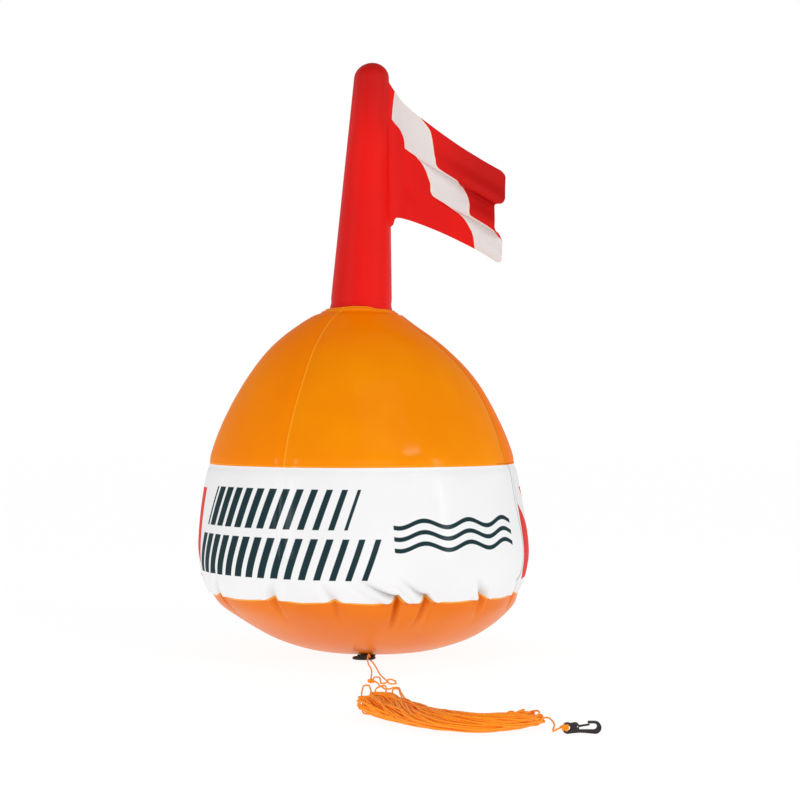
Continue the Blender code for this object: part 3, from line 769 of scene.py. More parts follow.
def cord_material(name, length):
    """Orange line, with painted shade in its grooves, dimmer and redder; its turns counted from the
    real length.
    """
    material, tree, shader = new_material(name, 0.60, 0.15)
    laid = use_group(tree, laid_group, Turns=length / LAY_LENGTH)
    bright = mixed(tree, laid.outputs["Fleck"], (0.94, 0.268, 0.002), (0.94, 0.318, 0.004))
    # Painted shade: the grooves between the laid strands turn dimmer and redder
    groove_shade = mapped(tree, laid.outputs["Groove"], 0.0, 0.45, 0.12, 0.0)
    paint(tree, shader, mixed(tree, groove_shade, bright, (0.78, 0.12, 0.001)))
    add_bump(tree, shader, laid.outputs["Groove"], 0.3, 0.0002)
    shader.inputs["Sheen Weight"].default_value = 0.15
    # A weak glow on the line is painted light, which makes it brighter than the lamps alone would
    shader.inputs["Emission Color"].default_value = (1.0, 0.24, 0.001, 1.0)
    shader.inputs["Emission Strength"].default_value = CORD_PAINTED_GLOW
    return material


MAIN_CORD = cord_material("orange_line", MAIN_LENGTH)
SHORT_CORD = cord_material("orange_line_short", END_LENGTH)

# %% The line
def add_cord(name, paths, radius, material, cyclic=False):
    """A piece of cord along its paths."""
    return add_piece(name, curve_mesh(name, paths, radius, cyclic), [material])


main_line = add_cord("main_line", [main_path], LINE_DIAMETER / 2, MAIN_CORD)
tied_end = add_cord("tied_end", [end_path], LINE_DIAMETER / 2, SHORT_CORD)
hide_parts("line_run", "line_lead", "line_hank", "line_tail")
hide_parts("line_end")
print(f"main line: {len(main_line.data.polygons)} faces")

# %% [markdown]
# ## Knots
#
# A knot this small reads as a tight ball of cord. A trefoil is the simplest closed knot there
# is, and its curve has a formula, so a thick tube along it gives a ball with real crossings.

# %% Two knots
def knot_path(centre, size, turn, steps=72):
    """A trefoil squeezed to the given half sizes, and turned about the upright."""
    points = []
    for step in range(steps):
        t = 2 * math.pi * step / steps
        x = (math.sin(t) + 2 * math.sin(2 * t)) / 3
        y = (math.cos(t) - 2 * math.cos(2 * t)) / 3
        z = -math.sin(3 * t)
        points.append((
            centre[0] + size[0] * (x * math.cos(turn) - y * math.sin(turn)),
            centre[1] + size[1] * (x * math.sin(turn) + y * math.cos(turn)),
            centre[2] + size[2] * z,
        ))
    return points


HOOK_X = 0.1732
HOOK_Y = -0.5510
EYE_RADIUS = 0.0046
hook_knot_centre = (HOOK_X + 0.0022, HOOK_Y - 0.0058, 0.0058)
eye_loop = [
    (HOOK_X + EYE_RADIUS + x, HOOK_Y + y, z)
    for x, y, z in (
        (-0.0020, -0.0045, 0.0052), (-0.0002, -0.0040, 0.0047), (0.0002, -0.0012, 0.0046),
        (0.0002, 0.0012, 0.0046), (-0.0006, 0.0036, 0.0047), (-0.0030, 0.0042, 0.0050),
        (-0.0054, 0.0032, 0.0052), (-0.0058, 0.0000, 0.0054), (-0.0054, -0.0034, 0.0056),
        (-0.0030, -0.0048, 0.0056),
    )
]
line_turns = [knot_path(KNOT_CENTRE, (0.0029, 0.0034, 0.0013), 0.4)]
line_knot = add_cord("line_knot_turns", line_turns, 0.0009, SHORT_CORD, True)
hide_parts("line_knot")
hook_turns = [
    knot_path(hook_knot_centre, (0.0024, 0.0019, 0.0020), 1.1),
    curve_through(eye_loop, 4),
]
hook_knot = add_cord("hook_knot_turns", hook_turns, 0.00085, SHORT_CORD, True)
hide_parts("hook_knot")
print("knots:", line_knot.name, hook_knot.name)

# %% [markdown]
# ## The float
#
# The float is one welded bag: upright panels, a white printed band and an orange bottom, joined
# by flat welds. A turned shape is the start, but a turned shape alone looks like plastic. What
# makes it read as inflated sheet is where it isn't round: shallow valleys along the welds,
# swollen panels between them, and the row of tucks where the bottom was gathered.
#
# So the mesh is first spun as a plain tube, a chart whose height is the distance along the
# profile. Then every point of the chart is sent to its place. Rows of the chart can follow a
# weld exactly, which keeps the edge between orange and white crisp.

# %% The float's profile, as in the frame
FLOAT_FOOT = 0.0022
FLOAT_TOP = 0.3760
FLOAT_PROFILE = (
    (0.0400, FLOAT_FOOT, 0.0095), (0.0660, 0.0034, 0.0098), (0.0910, 0.0096, 0.0100),
    (0.1140, 0.0187, 0.0100), (0.1372, 0.0330, 0.0085), (0.1562, 0.0490, 0.0052),
    (0.1703, 0.0680, 0.0012), (0.1788, 0.0900, 0.0003), (0.1813, 0.1170, 0.0000),
    (0.1757, 0.1650, -0.0016), (0.1663, 0.2100, -0.0020), (0.1500, 0.2530, -0.0026),
    (0.1248, 0.2975, -0.0032), (0.0952, 0.3320, -0.0062), (0.0608, 0.3590, -0.0076),
    (0.0355, FLOAT_TOP, -0.0034),
)
BAND_TOP = 0.2060
BAND_FOOT = 0.0675
profile = np.array([tuple(point) for point in curve_through(FLOAT_PROFILE, 30)])
profile_steps = np.linalg.norm(np.diff(profile[:, :2], axis=0), axis=1)
profile_along = np.concatenate([[0.0], np.cumsum(profile_steps)])
PROFILE_LENGTH = float(profile_along[-1])
LOWER_WELD = float(np.interp(BAND_FOOT, profile[:, 1], profile_along))
UPPER_WELD = float(np.interp(BAND_TOP, profile[:, 1], profile_along))
print(f"profile {PROFILE_LENGTH:.3f} m, welds at {LOWER_WELD:.3f} and {UPPER_WELD:.3f} m")

# %% [markdown]
# Rows and columns are spent where the form is fine: rows crowd at the two welds and at the
# neck, and columns crowd at the upright seams and the tucks. One function does both: it spreads
# places so that their number per millimetre follows a given density.

# %% Where the rows and columns go
UPPER_ROWS = 108
LOWER_ROWS = 50
FLOAT_COLUMNS = 620
SEAM_ANGLES = (-28.0, 73.0, 159.0, 246.0)
RIGHT_SEAM_LEAN = 4.0
TUCK_ANGLES = (-64, -33, -9.5, 12.5, 23, 47, 71, 94, 117, 139, 160, 184, 206, 229, 251, 273)


def spread(low, high, count, density):
    """Places from low to high whose spacing follows a density function."""
    fine = np.linspace(low, high, 6000)
    total = np.concatenate([[0.0], np.cumsum((density(fine)[1:] + density(fine)[:-1]) / 2)])
    return np.interp(np.linspace(0.0, total[-1], count), total, fine)


def hump(value, width):
    return np.exp(-((value / width) ** 2))


def row_density(place):
    return (
        1.0
        + 2.6 * hump(place - LOWER_WELD + 0.004, 0.026)
        + 2.4 * hump(place - UPPER_WELD, 0.007)
        + 3.0 * hump(place - PROFILE_LENGTH, 0.013)
    )


def turned_by(angle, other):
    """The signed angle from one direction to another, from -180 to 180 degrees."""
    return (angle - other + 180.0) % 360.0 - 180.0


def column_density(angle):
    density = np.ones_like(angle)
    for seam in (*SEAM_ANGLES, SEAM_ANGLES[1] - RIGHT_SEAM_LEAN):
        density += 2.2 * hump(turned_by(angle, seam), 1.6)
    for tuck in TUCK_ANGLES:
        density += 0.9 * hump(turned_by(angle, tuck), 3.0)
    return density


upper_rows = spread(LOWER_WELD, PROFILE_LENGTH, UPPER_ROWS, row_density)
lower_rows = spread(0.0, LOWER_WELD, LOWER_ROWS, row_density)
weld_row = int(np.argmin(np.abs(upper_rows - UPPER_WELD)))
upper_rows[weld_row] = UPPER_WELD
float_rows = np.concatenate([lower_rows[:-1], upper_rows])
column_angles = spread(-180.0, 180.0, FLOAT_COLUMNS + 1, column_density)

# %% Spin the chart
# The skin's materials by number; the orange is 0, as new faces are
WHITE_FACES = 1
BOTTOM_FACES = 2


def spun_chart(rows, columns):
    """A tube of radius 1 about Z with a ring at each row's height, closed by a disc at each end."""
    bm = bmesh.new()
    verts = [bm.verts.new((0.0, -1.0, row)) for row in rows]
    verts = [bm.verts.new((0.0, 0.0, rows[0])), *verts, bm.verts.new((0.0, 0.0, rows[-1]))]
    edges = [bm.edges.new(pair) for pair in zip(verts, verts[1:])]
    bmesh.ops.spin(
        bm,
        geom=verts + edges,
        cent=(0.0, 0.0, 0.0),
        axis=(0.0, 0.0, 1.0),
        angle=2 * math.pi,
        steps=columns,
        use_merge=True,
    )
    bmesh.ops.remove_doubles(bm, verts=bm.verts, dist=0.000001)
    bmesh.ops.recalc_face_normals(bm, faces=bm.faces)
    return bm


def coordinates(mesh):
    values = np.empty(len(mesh.vertices) * 3)
    mesh.vertices.foreach_get("co", values)
    return values.reshape(-1, 3)


def set_coordinates(mesh, values):
    mesh.vertices.foreach_set("co", np.ascontiguousarray(values, dtype=np.float32).ravel())
    mesh.update()


bm = spun_chart(float_rows, FLOAT_COLUMNS)
for face in bm.faces:
    place = face.calc_center_median().z
    if place < LOWER_WELD:
        face.material_index = BOTTOM_FACES
    elif place < UPPER_WELD:
        face.material_index = WHITE_FACES
skin_mesh = mesh_from(bm, "float_skin")
chart = coordinates(skin_mesh)
chart_radius = np.hypot(chart[:, 0], chart[:, 1])
even_angle = np.degrees(np.arctan2(chart[:, 0], -chart[:, 1]))
skin_angle = np.interp(even_angle, np.linspace(-180.0, 180.0, FLOAT_COLUMNS + 1), column_angles)
skin_row = chart[:, 2]
print(f"float chart: {len(skin_mesh.polygons)} faces")

# %% [markdown]
# Now the form. Each effect is a small function of the angle and of the distance along the
# profile, and gives how far the sheet stands out there. A tuck is a sharp fold just under the
# weld that slants as it runs down, with a soft fold above it in the white.

# %% How the sheet stands out
TUCK_DEPTH = 0.0034
TUCK_RISE = 0.0060
# For each tuck: its strength, its slant below the weld in degrees a metre, how far down it runs,
# its half width in degrees, and the slant of the soft fold above it
TUCK_FORMS = (
    (0.75, 40, 0.026, 4.0, -150),
    (0.70, 15, 0.024, 5.5, -100),
    (0.60, -20, 0.030, 6.0, 160),
    (1.00, -120, 0.046, 3.2, 480),
    (0.90, -170, 0.042, 2.8, 375),
    (0.85, -60, 0.028, 3.6, 190),
    (0.70, -30, 0.026, 4.4, 120),
    (0.80, 30, 0.028, 5.0, -140),
    (0.95, -40, 0.024, 3.4, 220),
    (0.70, 60, 0.030, 4.2, -260),
    (0.90, -80, 0.027, 3.0, 340),
    (0.65, 20, 0.025, 5.2, -90),
    (0.95, 90, 0.032, 3.2, -400),
    (0.80, -50, 0.028, 4.0, 180),
    (0.70, 40, 0.025, 5.4, -120),
    (0.90, -30, 0.030, 3.4, 260),
)
SKIN_RADIUS = 0.175
METRES_PER_DEGREE = math.radians(1.0) * SKIN_RADIUS


def smooth_step(value):
    value = np.clip(value, 0.0, 1.0)
    return value * value * (3 - 2 * value)


def tuck_strength(angle):
    """How strongly the nearest tuck of the lower weld draws, falling away sharply on both sides."""
    total = np.zeros_like(angle)
    for middle, (strength, _, _, width, _) in zip(TUCK_ANGLES, TUCK_FORMS):
        total = np.maximum(total, strength * np.exp(-np.abs(turned_by(angle, middle)) / width))
    return total


def seam_degrees(angle, place):
    """Degrees to the nearest upright weld; the right front one leans to the front lower down."""
    lean = RIGHT_SEAM_LEAN * smooth_step((UPPER_WELD + 0.075 - place) / 0.06)
    gaps = [np.abs(turned_by(angle, seam)) for seam in SEAM_ANGLES]
    gaps[1] = np.abs(turned_by(angle, SEAM_ANGLES[1] - lean))
    return np.min(gaps, axis=0)


def fade(value, length):
    """1 at zero, easing to 0 at the given length; 0 for values below zero too."""
    t = np.clip(1.0 - value / length, 0.0, 1.0)
    return np.where(value < 0, 0.0, t * t * (3 - 2 * t))


def weld_rise(angle, place):
    """How far the lower weld and what is near it are drawn up."""
    waist = hump(place - LOWER_WELD, 0.020)
    front = 0.0026 * np.cos(np.radians(angle)) - 0.0012
    return (TUCK_RISE * (tuck_strength(angle) - 0.3) + front) * waist


def seam_form(angle, place, radius):
    """Shallow valleys along the upright welds, a flat bead in them, and swollen panels between."""
    above = np.clip((place - LOWER_WELD) / 0.02, 0.0, 1.0)
    above = above * np.clip((PROFILE_LENGTH - place) / 0.05, 0.0, 1.0)
    nearest = seam_degrees(angle, place)
    distance = np.radians(nearest) * radius
    upper = np.clip((place - UPPER_WELD + 0.006) / 0.012, 0.25, 1.0)
    valley = -0.0016 * hump(distance, 0.0075) + 0.0007 * hump(distance, 0.0016)
    swell = 0.0014 * np.sin(np.pi * np.clip(nearest / 45.0, 0.0, 1.0) / 2)
    return above * upper * (valley + swell)


def round_weld_form(place):
    """The upper weld and the collar under the mast."""
    weld = place - UPPER_WELD
    upper = -0.0013 * hump(weld, 0.0055) + 0.0006 * hump(weld - 0.0012, 0.0011)
    collar = PROFILE_LENGTH - place
    beads = 0.0007 * hump(collar - 0.0022, 0.0010) + 0.0007 * hump(collar - 0.0066, 0.0011)
    return upper + beads - 0.0008 * hump(collar - 0.0100, 0.0030)


def tucks_at(angle, below):
    """For each tuck: its strength, its reach, and the metres to its crease and to its fold."""
    for middle, (strength, slant, reach, _, lean) in zip(TUCK_ANGLES, TUCK_FORMS):
        down = turned_by(angle, middle + slant * below) * METRES_PER_DEGREE
        up = turned_by(angle, middle + lean * below) * METRES_PER_DEGREE
        yield strength, reach, down, up


def tuck_form(angle, place):
    """Gathers along the lower weld."""
    below = LOWER_WELD - place
    tuck = tuck_strength(angle)
    form = -0.0010 * hump(below, 0.008) - TUCK_DEPTH * tuck * hump(below - 0.005, 0.018)
    form += 0.0016 * (1 - tuck) * hump(below - 0.013, 0.014)
    for strength, reach, down, up in tucks_at(angle, below):
        crease = np.exp(-np.abs(down) / 0.0021) - 0.50 * hump(np.abs(down) - 0.0058, 0.0032)
        form -= 0.0056 * strength ** 2 * crease * fade(below, reach)
        fold = hump(up, 0.0046) - 0.60 * hump(np.abs(up) - 0.0105, 0.0050)
        form -= 0.0074 * strength ** 2 * fold * fade(-below, 0.036)
    return form


def fold_shade(angle, place):
    """How deep in a fold a point lies, from 0 to 1: the materials paint shade there."""
    below = LOWER_WELD - place
    total = np.zeros_like(angle)
    for strength, reach, down, up in tucks_at(angle, below):
        crease = strength ** 2 * np.exp(-np.abs(down) / 0.0024) * fade(below, reach)
        fold = strength ** 3 * hump(up, 0.0030) * fade(-below, 0.034)
        total = np.maximum(total, np.maximum(crease, fold))
    return total


NECK_WAVE = (
    (-180, 0.0), (-90, -0.0008), (-40, -0.0004), (-12, 0.0008), (14, 0.0002), (26, -0.0018),
    (90, -0.0032), (140, -0.0012), (180, 0.0),
)


def neck_wave(angle):
    """How much higher the weld under the mast lies at an angle than where it would if cut true."""
    return np.interp(angle, *np.array(NECK_WAVE).T)


def slow_waves(points, amount, seed, scale):
    """A sum of long, weak waves: no hand-made bag is perfectly round."""
    waves = random.Random(seed)
    total = np.zeros(len(points))
    for _ in range(9):
        direction = np.array([waves.gauss(0, 1) for _ in range(3)])
        direction /= np.linalg.norm(direction)
        total += np.sin(points @ direction * waves.uniform(0.6, 1.6) * scale + waves.uniform(0, 6.3))
    return amount * total / 3


# %% Send every point of the chart to its place
place_on_profile = np.clip(skin_row + weld_rise(skin_angle, skin_row), 0.0, PROFILE_LENGTH)
place_on_profile = np.where(skin_row >= PROFILE_LENGTH - 0.000001, PROFILE_LENGTH, place_on_profile)
SLOPE_STEP = 0.002


def profile_at(place, axis):
    return np.interp(place, profile_along, profile[:, axis])


base_radius, base_height, base_shift = (profile_at(place_on_profile, axis) for axis in range(3))
slope_radius, slope_height = (
    profile_at(place_on_profile + SLOPE_STEP, axis) - profile_at(place_on_profile - SLOPE_STEP, axis)
    for axis in (0, 1)
)
slope = np.hypot(slope_radius, slope_height) + 1e-9
out_radius, out_height = slope_height / slope, -slope_radius / slope
sine, cosine = np.sin(np.radians(skin_angle)), np.cos(np.radians(skin_angle))
rough_points = np.stack([base_radius * sine, -base_radius * cosine, base_height], axis=1)
stand = seam_form(skin_angle, skin_row, base_radius) + round_weld_form(skin_row)
stand += tuck_form(skin_angle, skin_row) + slow_waves(rough_points, 0.0005, 3, 34.0)
# The foot and the rim under the mast stay where the frame has them
stand *= np.clip((skin_row - 0.012) / 0.05, 0.0, 1.0)
stand *= np.clip((PROFILE_LENGTH - skin_row) / 0.0012, 0.0, 1.0)
skin_radius = (base_radius + stand * out_radius) * chart_radius
near_neck = smooth_step(1 - (PROFILE_LENGTH - skin_row) / 0.018)
skin_height = base_height + stand * out_height + neck_wave(skin_angle) * chart_radius * near_neck
skin_points = np.stack([base_shift + skin_radius * sine, -skin_radius * cosine, skin_height], axis=1)
set_coordinates(skin_mesh, skin_points)
skin_mesh.shade_smooth()
print(f"the sheet stands out by {1000 * stand.min():.1f} to {1000 * stand.max():.1f} mm")

# %% [markdown]
# Two things go with the surface into the materials. The UV map holds the angle and the height,
# where the print on the band is laid out. The attribute weld_gap holds the distance to the
# nearest weld, because a pressed weld is a fine pale line. Both follow the vinyl, so a tuck
# bends the print as it does on the real bag.

# %% The map and the weld distance
def loop_values(mesh, vertex_values):
    index = np.empty(len(mesh.loops), np.int32)
    mesh.loops.foreach_get("vertex_index", index)
    return vertex_values[index]


def add_map(mesh, uv):
    layer = mesh.uv_layers.new(name="band_map")
    layer.data.foreach_set("uv", uv.astype(np.float32).ravel())


def angle_map(mesh, angle, height):
    """A UV map with turns along U and metres of height along V, whole also where the angle wraps."""
    turns = loop_values(mesh, angle / 360.0)
    starts = np.empty(len(mesh.polygons), np.int32)
    totals = np.empty(len(mesh.polygons), np.int32)
    mesh.polygons.foreach_get("loop_start", starts)
    mesh.polygons.foreach_get("loop_total", totals)
    for corner in range(4):
        has = totals > corner
        first = turns[starts[has]]
        here = starts[has] + corner
        turns[here] += np.round(first - turns[here])
    add_map(mesh, np.stack([turns, loop_values(mesh, height)], axis=1))


def add_attribute(mesh, name, values):
    attribute = mesh.attributes.new(name, "FLOAT", "POINT")
    attribute.data.foreach_set("value", values.astype(np.float32))


angle_map(skin_mesh, skin_angle, base_height)
seam_gap = np.radians(seam_degrees(skin_angle, skin_row)) * base_radius
neck_gap = PROFILE_LENGTH - skin_row
weld_gap = np.min([
    np.where(skin_row > UPPER_WELD - 0.001, seam_gap, 0.1),
    np.abs(neck_gap - 0.0022),
    np.abs(neck_gap - 0.0066),
    np.where(skin_row > UPPER_WELD, np.abs(skin_row - UPPER_WELD - 0.0010), 0.1),
], axis=0)
add_attribute(skin_mesh, "weld_gap", weld_gap)
add_attribute(skin_mesh, "band_place", skin_row - LOWER_WELD)
add_attribute(skin_mesh, "fold_shade", fold_shade(skin_angle, skin_row))

# %% [markdown]
# ## Vinyl
#
# Sheet vinyl is smooth but not a mirror: a fine leather-like grain breaks up its highlight, and
# its colour clouds a little where it is thin. Every vinyl part uses the same two effects with
# its own numbers, so they are one node group.

# %% The grain of sheet vinyl
vinyl_group, vinyl_in, vinyl_out = new_group(
    "sheet_vinyl",
    (("Grain", "NodeSocketFloat", 900.0), ("Clouds", "NodeSocketFloat", 14.0)),
    (("Height", "NodeSocketFloat"), ("Cloud", "NodeSocketFloat")),
)
grain = noise(vinyl_group, vinyl_in.outputs["Grain"], 1.0)
cloud = noise(vinyl_group, vinyl_in.outputs["Clouds"], 3.0)
slack = arithmetic(vinyl_group, "MULTIPLY", noise(vinyl_group, 26.0, 2.0), 5.0)
feed(vinyl_group, vinyl_out.inputs["Height"], arithmetic(vinyl_group, "ADD", grain, slack))
feed(vinyl_group, vinyl_out.inputs["Cloud"], mapped(vinyl_group, cloud, 0.35, 0.65))


VINYL_COAT = 0.14


def vinyl_material(name, light, deep, roughness, coat=VINYL_COAT, specular=0.0, clouds=14.0):
    """Sheet vinyl between two close tones. Returns the tree, the shader and the colour so far."""
    material, tree, shader = new_material(name, roughness, specular)
    shader.inputs["Coat Weight"].default_value = coat
    shader.inputs["Coat Roughness"].default_value = 0.13
    sheet = use_group(tree, vinyl_group, Clouds=clouds)
    colour = mixed(tree, sheet.outputs["Cloud"], deep, light)
    paint(tree, shader, colour)
    add_bump(tree, shader, sheet.outputs["Height"], 0.35, 0.0001)
    return material, tree, shader, colour


PRINT_EDGE = 0.0004


def inside(tree, value, low, high, edge=PRINT_EDGE):
    """1 where low < value < high, with an edge of the given half width."""
    rise = mapped(tree, value, low - edge, low + edge)
    fall = mapped(tree, value, high - edge, high + edge, 1.0, 0.0)
    return arithmetic(tree, "MULTIPLY", rise, fall)


def attribute_value(tree, name):
    return add_node(tree, "ShaderNodeAttribute", attribute_name=name).outputs["Fac"]


# A weld's line is full up to the first distance and gone at the second
WELD_LINE = (0.0004, 0.0011)


def with_weld_lines(tree, shader, colour, line_colour):
    """Fine pale lines along the welds, at most a millimetre wide."""
    line = mapped(tree, attribute_value(tree, "weld_gap"), *WELD_LINE, 0.75, 0.0)
    paint(tree, shader, mixed(tree, line, colour, line_colour))


def with_lower_rim(tree, colour, line_colour):
    """The fine bright rim of the lower weld, on its orange side."""
    gap = arithmetic(tree, "ADD", attribute_value(tree, "band_place"), 0.0010)
    gap = arithmetic(tree, "ABSOLUTE", gap)
    return mixed(tree, mapped(tree, gap, *WELD_LINE, 0.8, 0.0), colour, line_colour)


ORANGE_VINYL, orange_tree, orange_shader, orange_colour = vinyl_material(
    "orange_vinyl", (0.890, 0.264, 0.0003), (0.865, 0.240, 0.0002), 0.36
)
# Painted shade: the orange turns redder towards the mast, and two of the panels are a little dimmer
orange_turns, orange_height, _ = place_parts(orange_tree, "UV")
turned = arithmetic(orange_tree, "MULTIPLY", orange_turns, 360.0)
painted_shade_near_mast = mapped(orange_tree, orange_height, 0.300, 0.380, 0.0, 0.9)
orange_colour = mixed(orange_tree, painted_shade_near_mast, orange_colour, (0.95, 0.190, 0.0002))
# Painted shade on the two side panels
right_panel_shade = inside(orange_tree, turned, 70.5, 159.0, 1.0)
left_panel_shade = inside(orange_tree, turned, -114.0, -28.0, 1.0)
orange_colour = mixed(orange_tree, right_panel_shade, orange_colour, (0.88, 0.180, 0.0002), 0.85)
orange_colour = mixed(orange_tree, left_panel_shade, orange_colour, (0.88, 0.190, 0.0002), 0.5)
# The weld line is dark on the right side, which is painted shade, and pale elsewhere
right_weld_shade = inside(orange_tree, turned, 60.0, 90.0, 1.0)
weld_colour = mixed(orange_tree, right_weld_shade, (0.96, 0.37, 0.02), (0.42, 0.080, 0.001))
with_weld_lines(orange_tree, orange_shader, orange_colour, weld_colour)
BOTTOM_VINYL, bottom_tree, bottom_shader, bottom_colour = vinyl_material(
    "orange_vinyl_bottom", (0.80, 0.180, 0.001), (0.77, 0.160, 0.001), 0.36, coat=0.0, specular=0.26
)
# Painted shade in the creases under the tucks
fold_painted_shade = attribute_value(bottom_tree, "fold_shade")
bottom_colour = mixed(bottom_tree, fold_painted_shade, bottom_colour, (0.60, 0.085, 0.0005))
bottom_colour = with_lower_rim(bottom_tree, bottom_colour, (0.90, 0.42, 0.04))
paint(bottom_tree, bottom_shader, bottom_colour)
print("vinyls:", ORANGE_VINYL.name, BOTTOM_VINYL.name)

# %% [markdown]
# ## The print on the band
#
# The real band carries a name and a mark, which a reusable part must not. In their place are
# two rows of slanting bars and three water lines, in the same dark ink and of like size. The
# red flag with a white diagonal, the divers' own signal, is printed at both sides.
#
# The print is arithmetic on the UV map. U is scaled to metres round the float, so the shapes
# keep their proportions, and every edge stays sharp at any distance.

# %% Shapes of the print
BAND_TURN = 2 * math.pi * 0.178
BAR_SLANT = 0.36
BAR_PITCH = 0.0165
WATER_WAVES = 118.0
WATER_HEIGHT = 0.0036
WATER_LINE = 0.0023
SIGNAL_STRIPE = 0.0165
INK_COLOUR = (0.012, 0.034, 0.040)
SIGNAL_RED = (0.72, 0.020, 0.014)


def bar_row(tree, across, height, left, right, foot, top, pitch):
    """Slanting bars that get thinner from left to right."""
    lean = arithmetic(tree, "MULTIPLY_ADD", height, -BAR_SLANT, across)
    lean = arithmetic(tree, "ADD", lean, BAR_SLANT * foot)
    share = arithmetic(tree, "DIVIDE", arithmetic(tree, "SUBTRACT", lean, left), right - left)
    number = arithmetic(tree, "FLOOR", arithmetic(tree, "DIVIDE", lean, pitch))
    within = arithmetic(tree, "MULTIPLY_ADD", number, -pitch, lean)
    width = arithmetic(tree, "MULTIPLY_ADD", share, -0.42 * pitch, 0.80 * pitch)
    too_far = arithmetic(tree, "SUBTRACT", within, width)
    bar = mapped(tree, too_far, -PRINT_EDGE, PRINT_EDGE, 1.0, 0.0)
    for limit in (
        mapped(tree, within, 0.0, 2 * PRINT_EDGE),
        inside(tree, height, foot, top),
        inside(tree, lean, left, right),
    ):
        bar = arithmetic(tree, "MULTIPLY", bar, limit)
    return bar


def water_lines(tree, across, height, left, right, middle, gap):
    """Three wavy lines, one above the other."""
    wave = arithmetic(tree, "SINE", arithmetic(tree, "MULTIPLY", across, WATER_WAVES))
    wave = arithmetic(tree, "MULTIPLY", wave, WATER_HEIGHT)
    level = arithmetic(tree, "SUBTRACT", arithmetic(tree, "SUBTRACT", height, middle), wave)
    total = 0.0
    for line in (-1, 0, 1):
        off = arithmetic(tree, "SUBTRACT", level, line * gap)
        shown = inside(tree, off, -WATER_LINE, WATER_LINE)
        total = arithmetic(tree, "MAXIMUM", total, shown)
    return arithmetic(tree, "MULTIPLY", total, inside(tree, across, left, right))


def signal_flag(tree, across, height, left, right, foot, top):
    """A red oblong with a white diagonal from its upper left corner to its lower right one."""
    wide, high = inside(tree, across, left, right), inside(tree, height, foot, top)
    oblong = arithmetic(tree, "MULTIPLY", wide, high)
    rate = (top - foot) / (right - left)
    fall = arithmetic(tree, "SUBTRACT", height, top + rate * left)
    fall = arithmetic(tree, "MULTIPLY_ADD", across, rate, fall)
    stripe = inside(tree, fall, -SIGNAL_STRIPE, SIGNAL_STRIPE)
    return arithmetic(tree, "MULTIPLY", oblong, arithmetic(tree, "SUBTRACT", 1.0, stripe))


# %% The white printed vinyl
def turn_metres(degrees):
    """Metres round the band for an angle from the front."""
    return degrees / 360.0 * BAND_TURN


WHITE_VINYL, white_tree, white_shader, white_colour = vinyl_material(
    "white_printed_vinyl", (0.84, 0.84, 0.846), (0.82, 0.82, 0.828), 0.32
)
band_turns, height, _ = place_parts(white_tree, "UV")
across = arithmetic(white_tree, "MULTIPLY", band_turns, BAND_TURN)
# The right front weld under the white sheet: a wavy grey line and a second one; the white beyond it is
# greyer, as painted shade
weld_wave = arithmetic(white_tree, "SINE", arithmetic(white_tree, "MULTIPLY_ADD", height, 62.0, 0.6))
weld_across = arithmetic(white_tree, "MULTIPLY_ADD", weld_wave, -0.0022, across)
RIGHT_WELD = turn_metres(70.5)
first_line = inside(white_tree, weld_across, RIGHT_WELD - 0.0009, RIGHT_WELD + 0.0009)
second_line = inside(white_tree, weld_across, RIGHT_WELD + 0.0062, RIGHT_WELD + 0.0074)
second_part = inside(white_tree, height, 0.150, 0.192, 0.004)
second_line = arithmetic(white_tree, "MULTIPLY", second_line, second_part)
weld_lines = arithmetic(white_tree, "MAXIMUM", first_line, second_line)
shade_beyond_weld = inside(white_tree, weld_across, RIGHT_WELD, turn_metres(159), 0.0008)
white_colour = mixed(white_tree, shade_beyond_weld, white_colour, (0.74, 0.74, 0.75), 0.5)
white_colour = mixed(white_tree, weld_lines, white_colour, (0.40, 0.40, 0.42), 0.9)
# Painted shade in the folds above the tucks
fold_painted_shade = attribute_value(white_tree, "fold_shade")
white_colour = mixed(white_tree, fold_painted_shade, white_colour, (0.50, 0.50, 0.51), 0.8)


def printed_shape(shape, left, right, *form):
    """A shape of the print between two angles from the front."""
    return shape(white_tree, across, height, turn_metres(left), turn_metres(right), *form)


ink = 0.0
for inked in (
    printed_shape(bar_row, -66, -4, 0.143, 0.184, BAR_PITCH),
    printed_shape(bar_row, -74, 3, 0.092, 0.134, BAR_PITCH),
    printed_shape(water_lines, 11, 61, 0.137, 0.0115),
):
    ink = arithmetic(white_tree, "MAXIMUM", ink, inked)
red = 0.0
for left, right in ((72, 115), (-116, -74)):
    flag = printed_shape(signal_flag, left, right, 0.0830, 0.1810)
    red = arithmetic(white_tree, "MAXIMUM", red, flag)
printed = mixed(white_tree, ink, white_colour, INK_COLOUR)
paint(white_tree, white_shader, mixed(white_tree, red, printed, SIGNAL_RED))
float_skin = add_piece("float_skin", skin_mesh, [ORANGE_VINYL, WHITE_VINYL, BOTTOM_VINYL])
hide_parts("float_body")
print("float skin:", ", ".join(material.name for material in skin_mesh.materials))

# %% [markdown]
# ## The mast and the flag
#
# Both are cut from the same red vinyl: a padded tube, and a flag that leaves it on one side. The
# flag has been folded for a long time, so it falls in three pleats that overlap like shingles.
# The flag is a grid whose points are sent to their places, given a thickness, and joined to the
# mast by a Boolean union, so that no edge of it lies loose inside the mast.

# %% The mast
MAST_FOOT = 0.3763
MAST_TOP = 0.6457
MAST_FOOT_RADIUS = 0.0341
MAST_TOP_RADIUS = 0.0193
MAST_FOOT_X = -0.0033
MAST_TOP_X = 0.0090
MAST_SHOULDER = MAST_TOP - MAST_TOP_RADIUS * 0.92
# The mast's faces have material 0, as new faces do
FLAG_FACES = 1


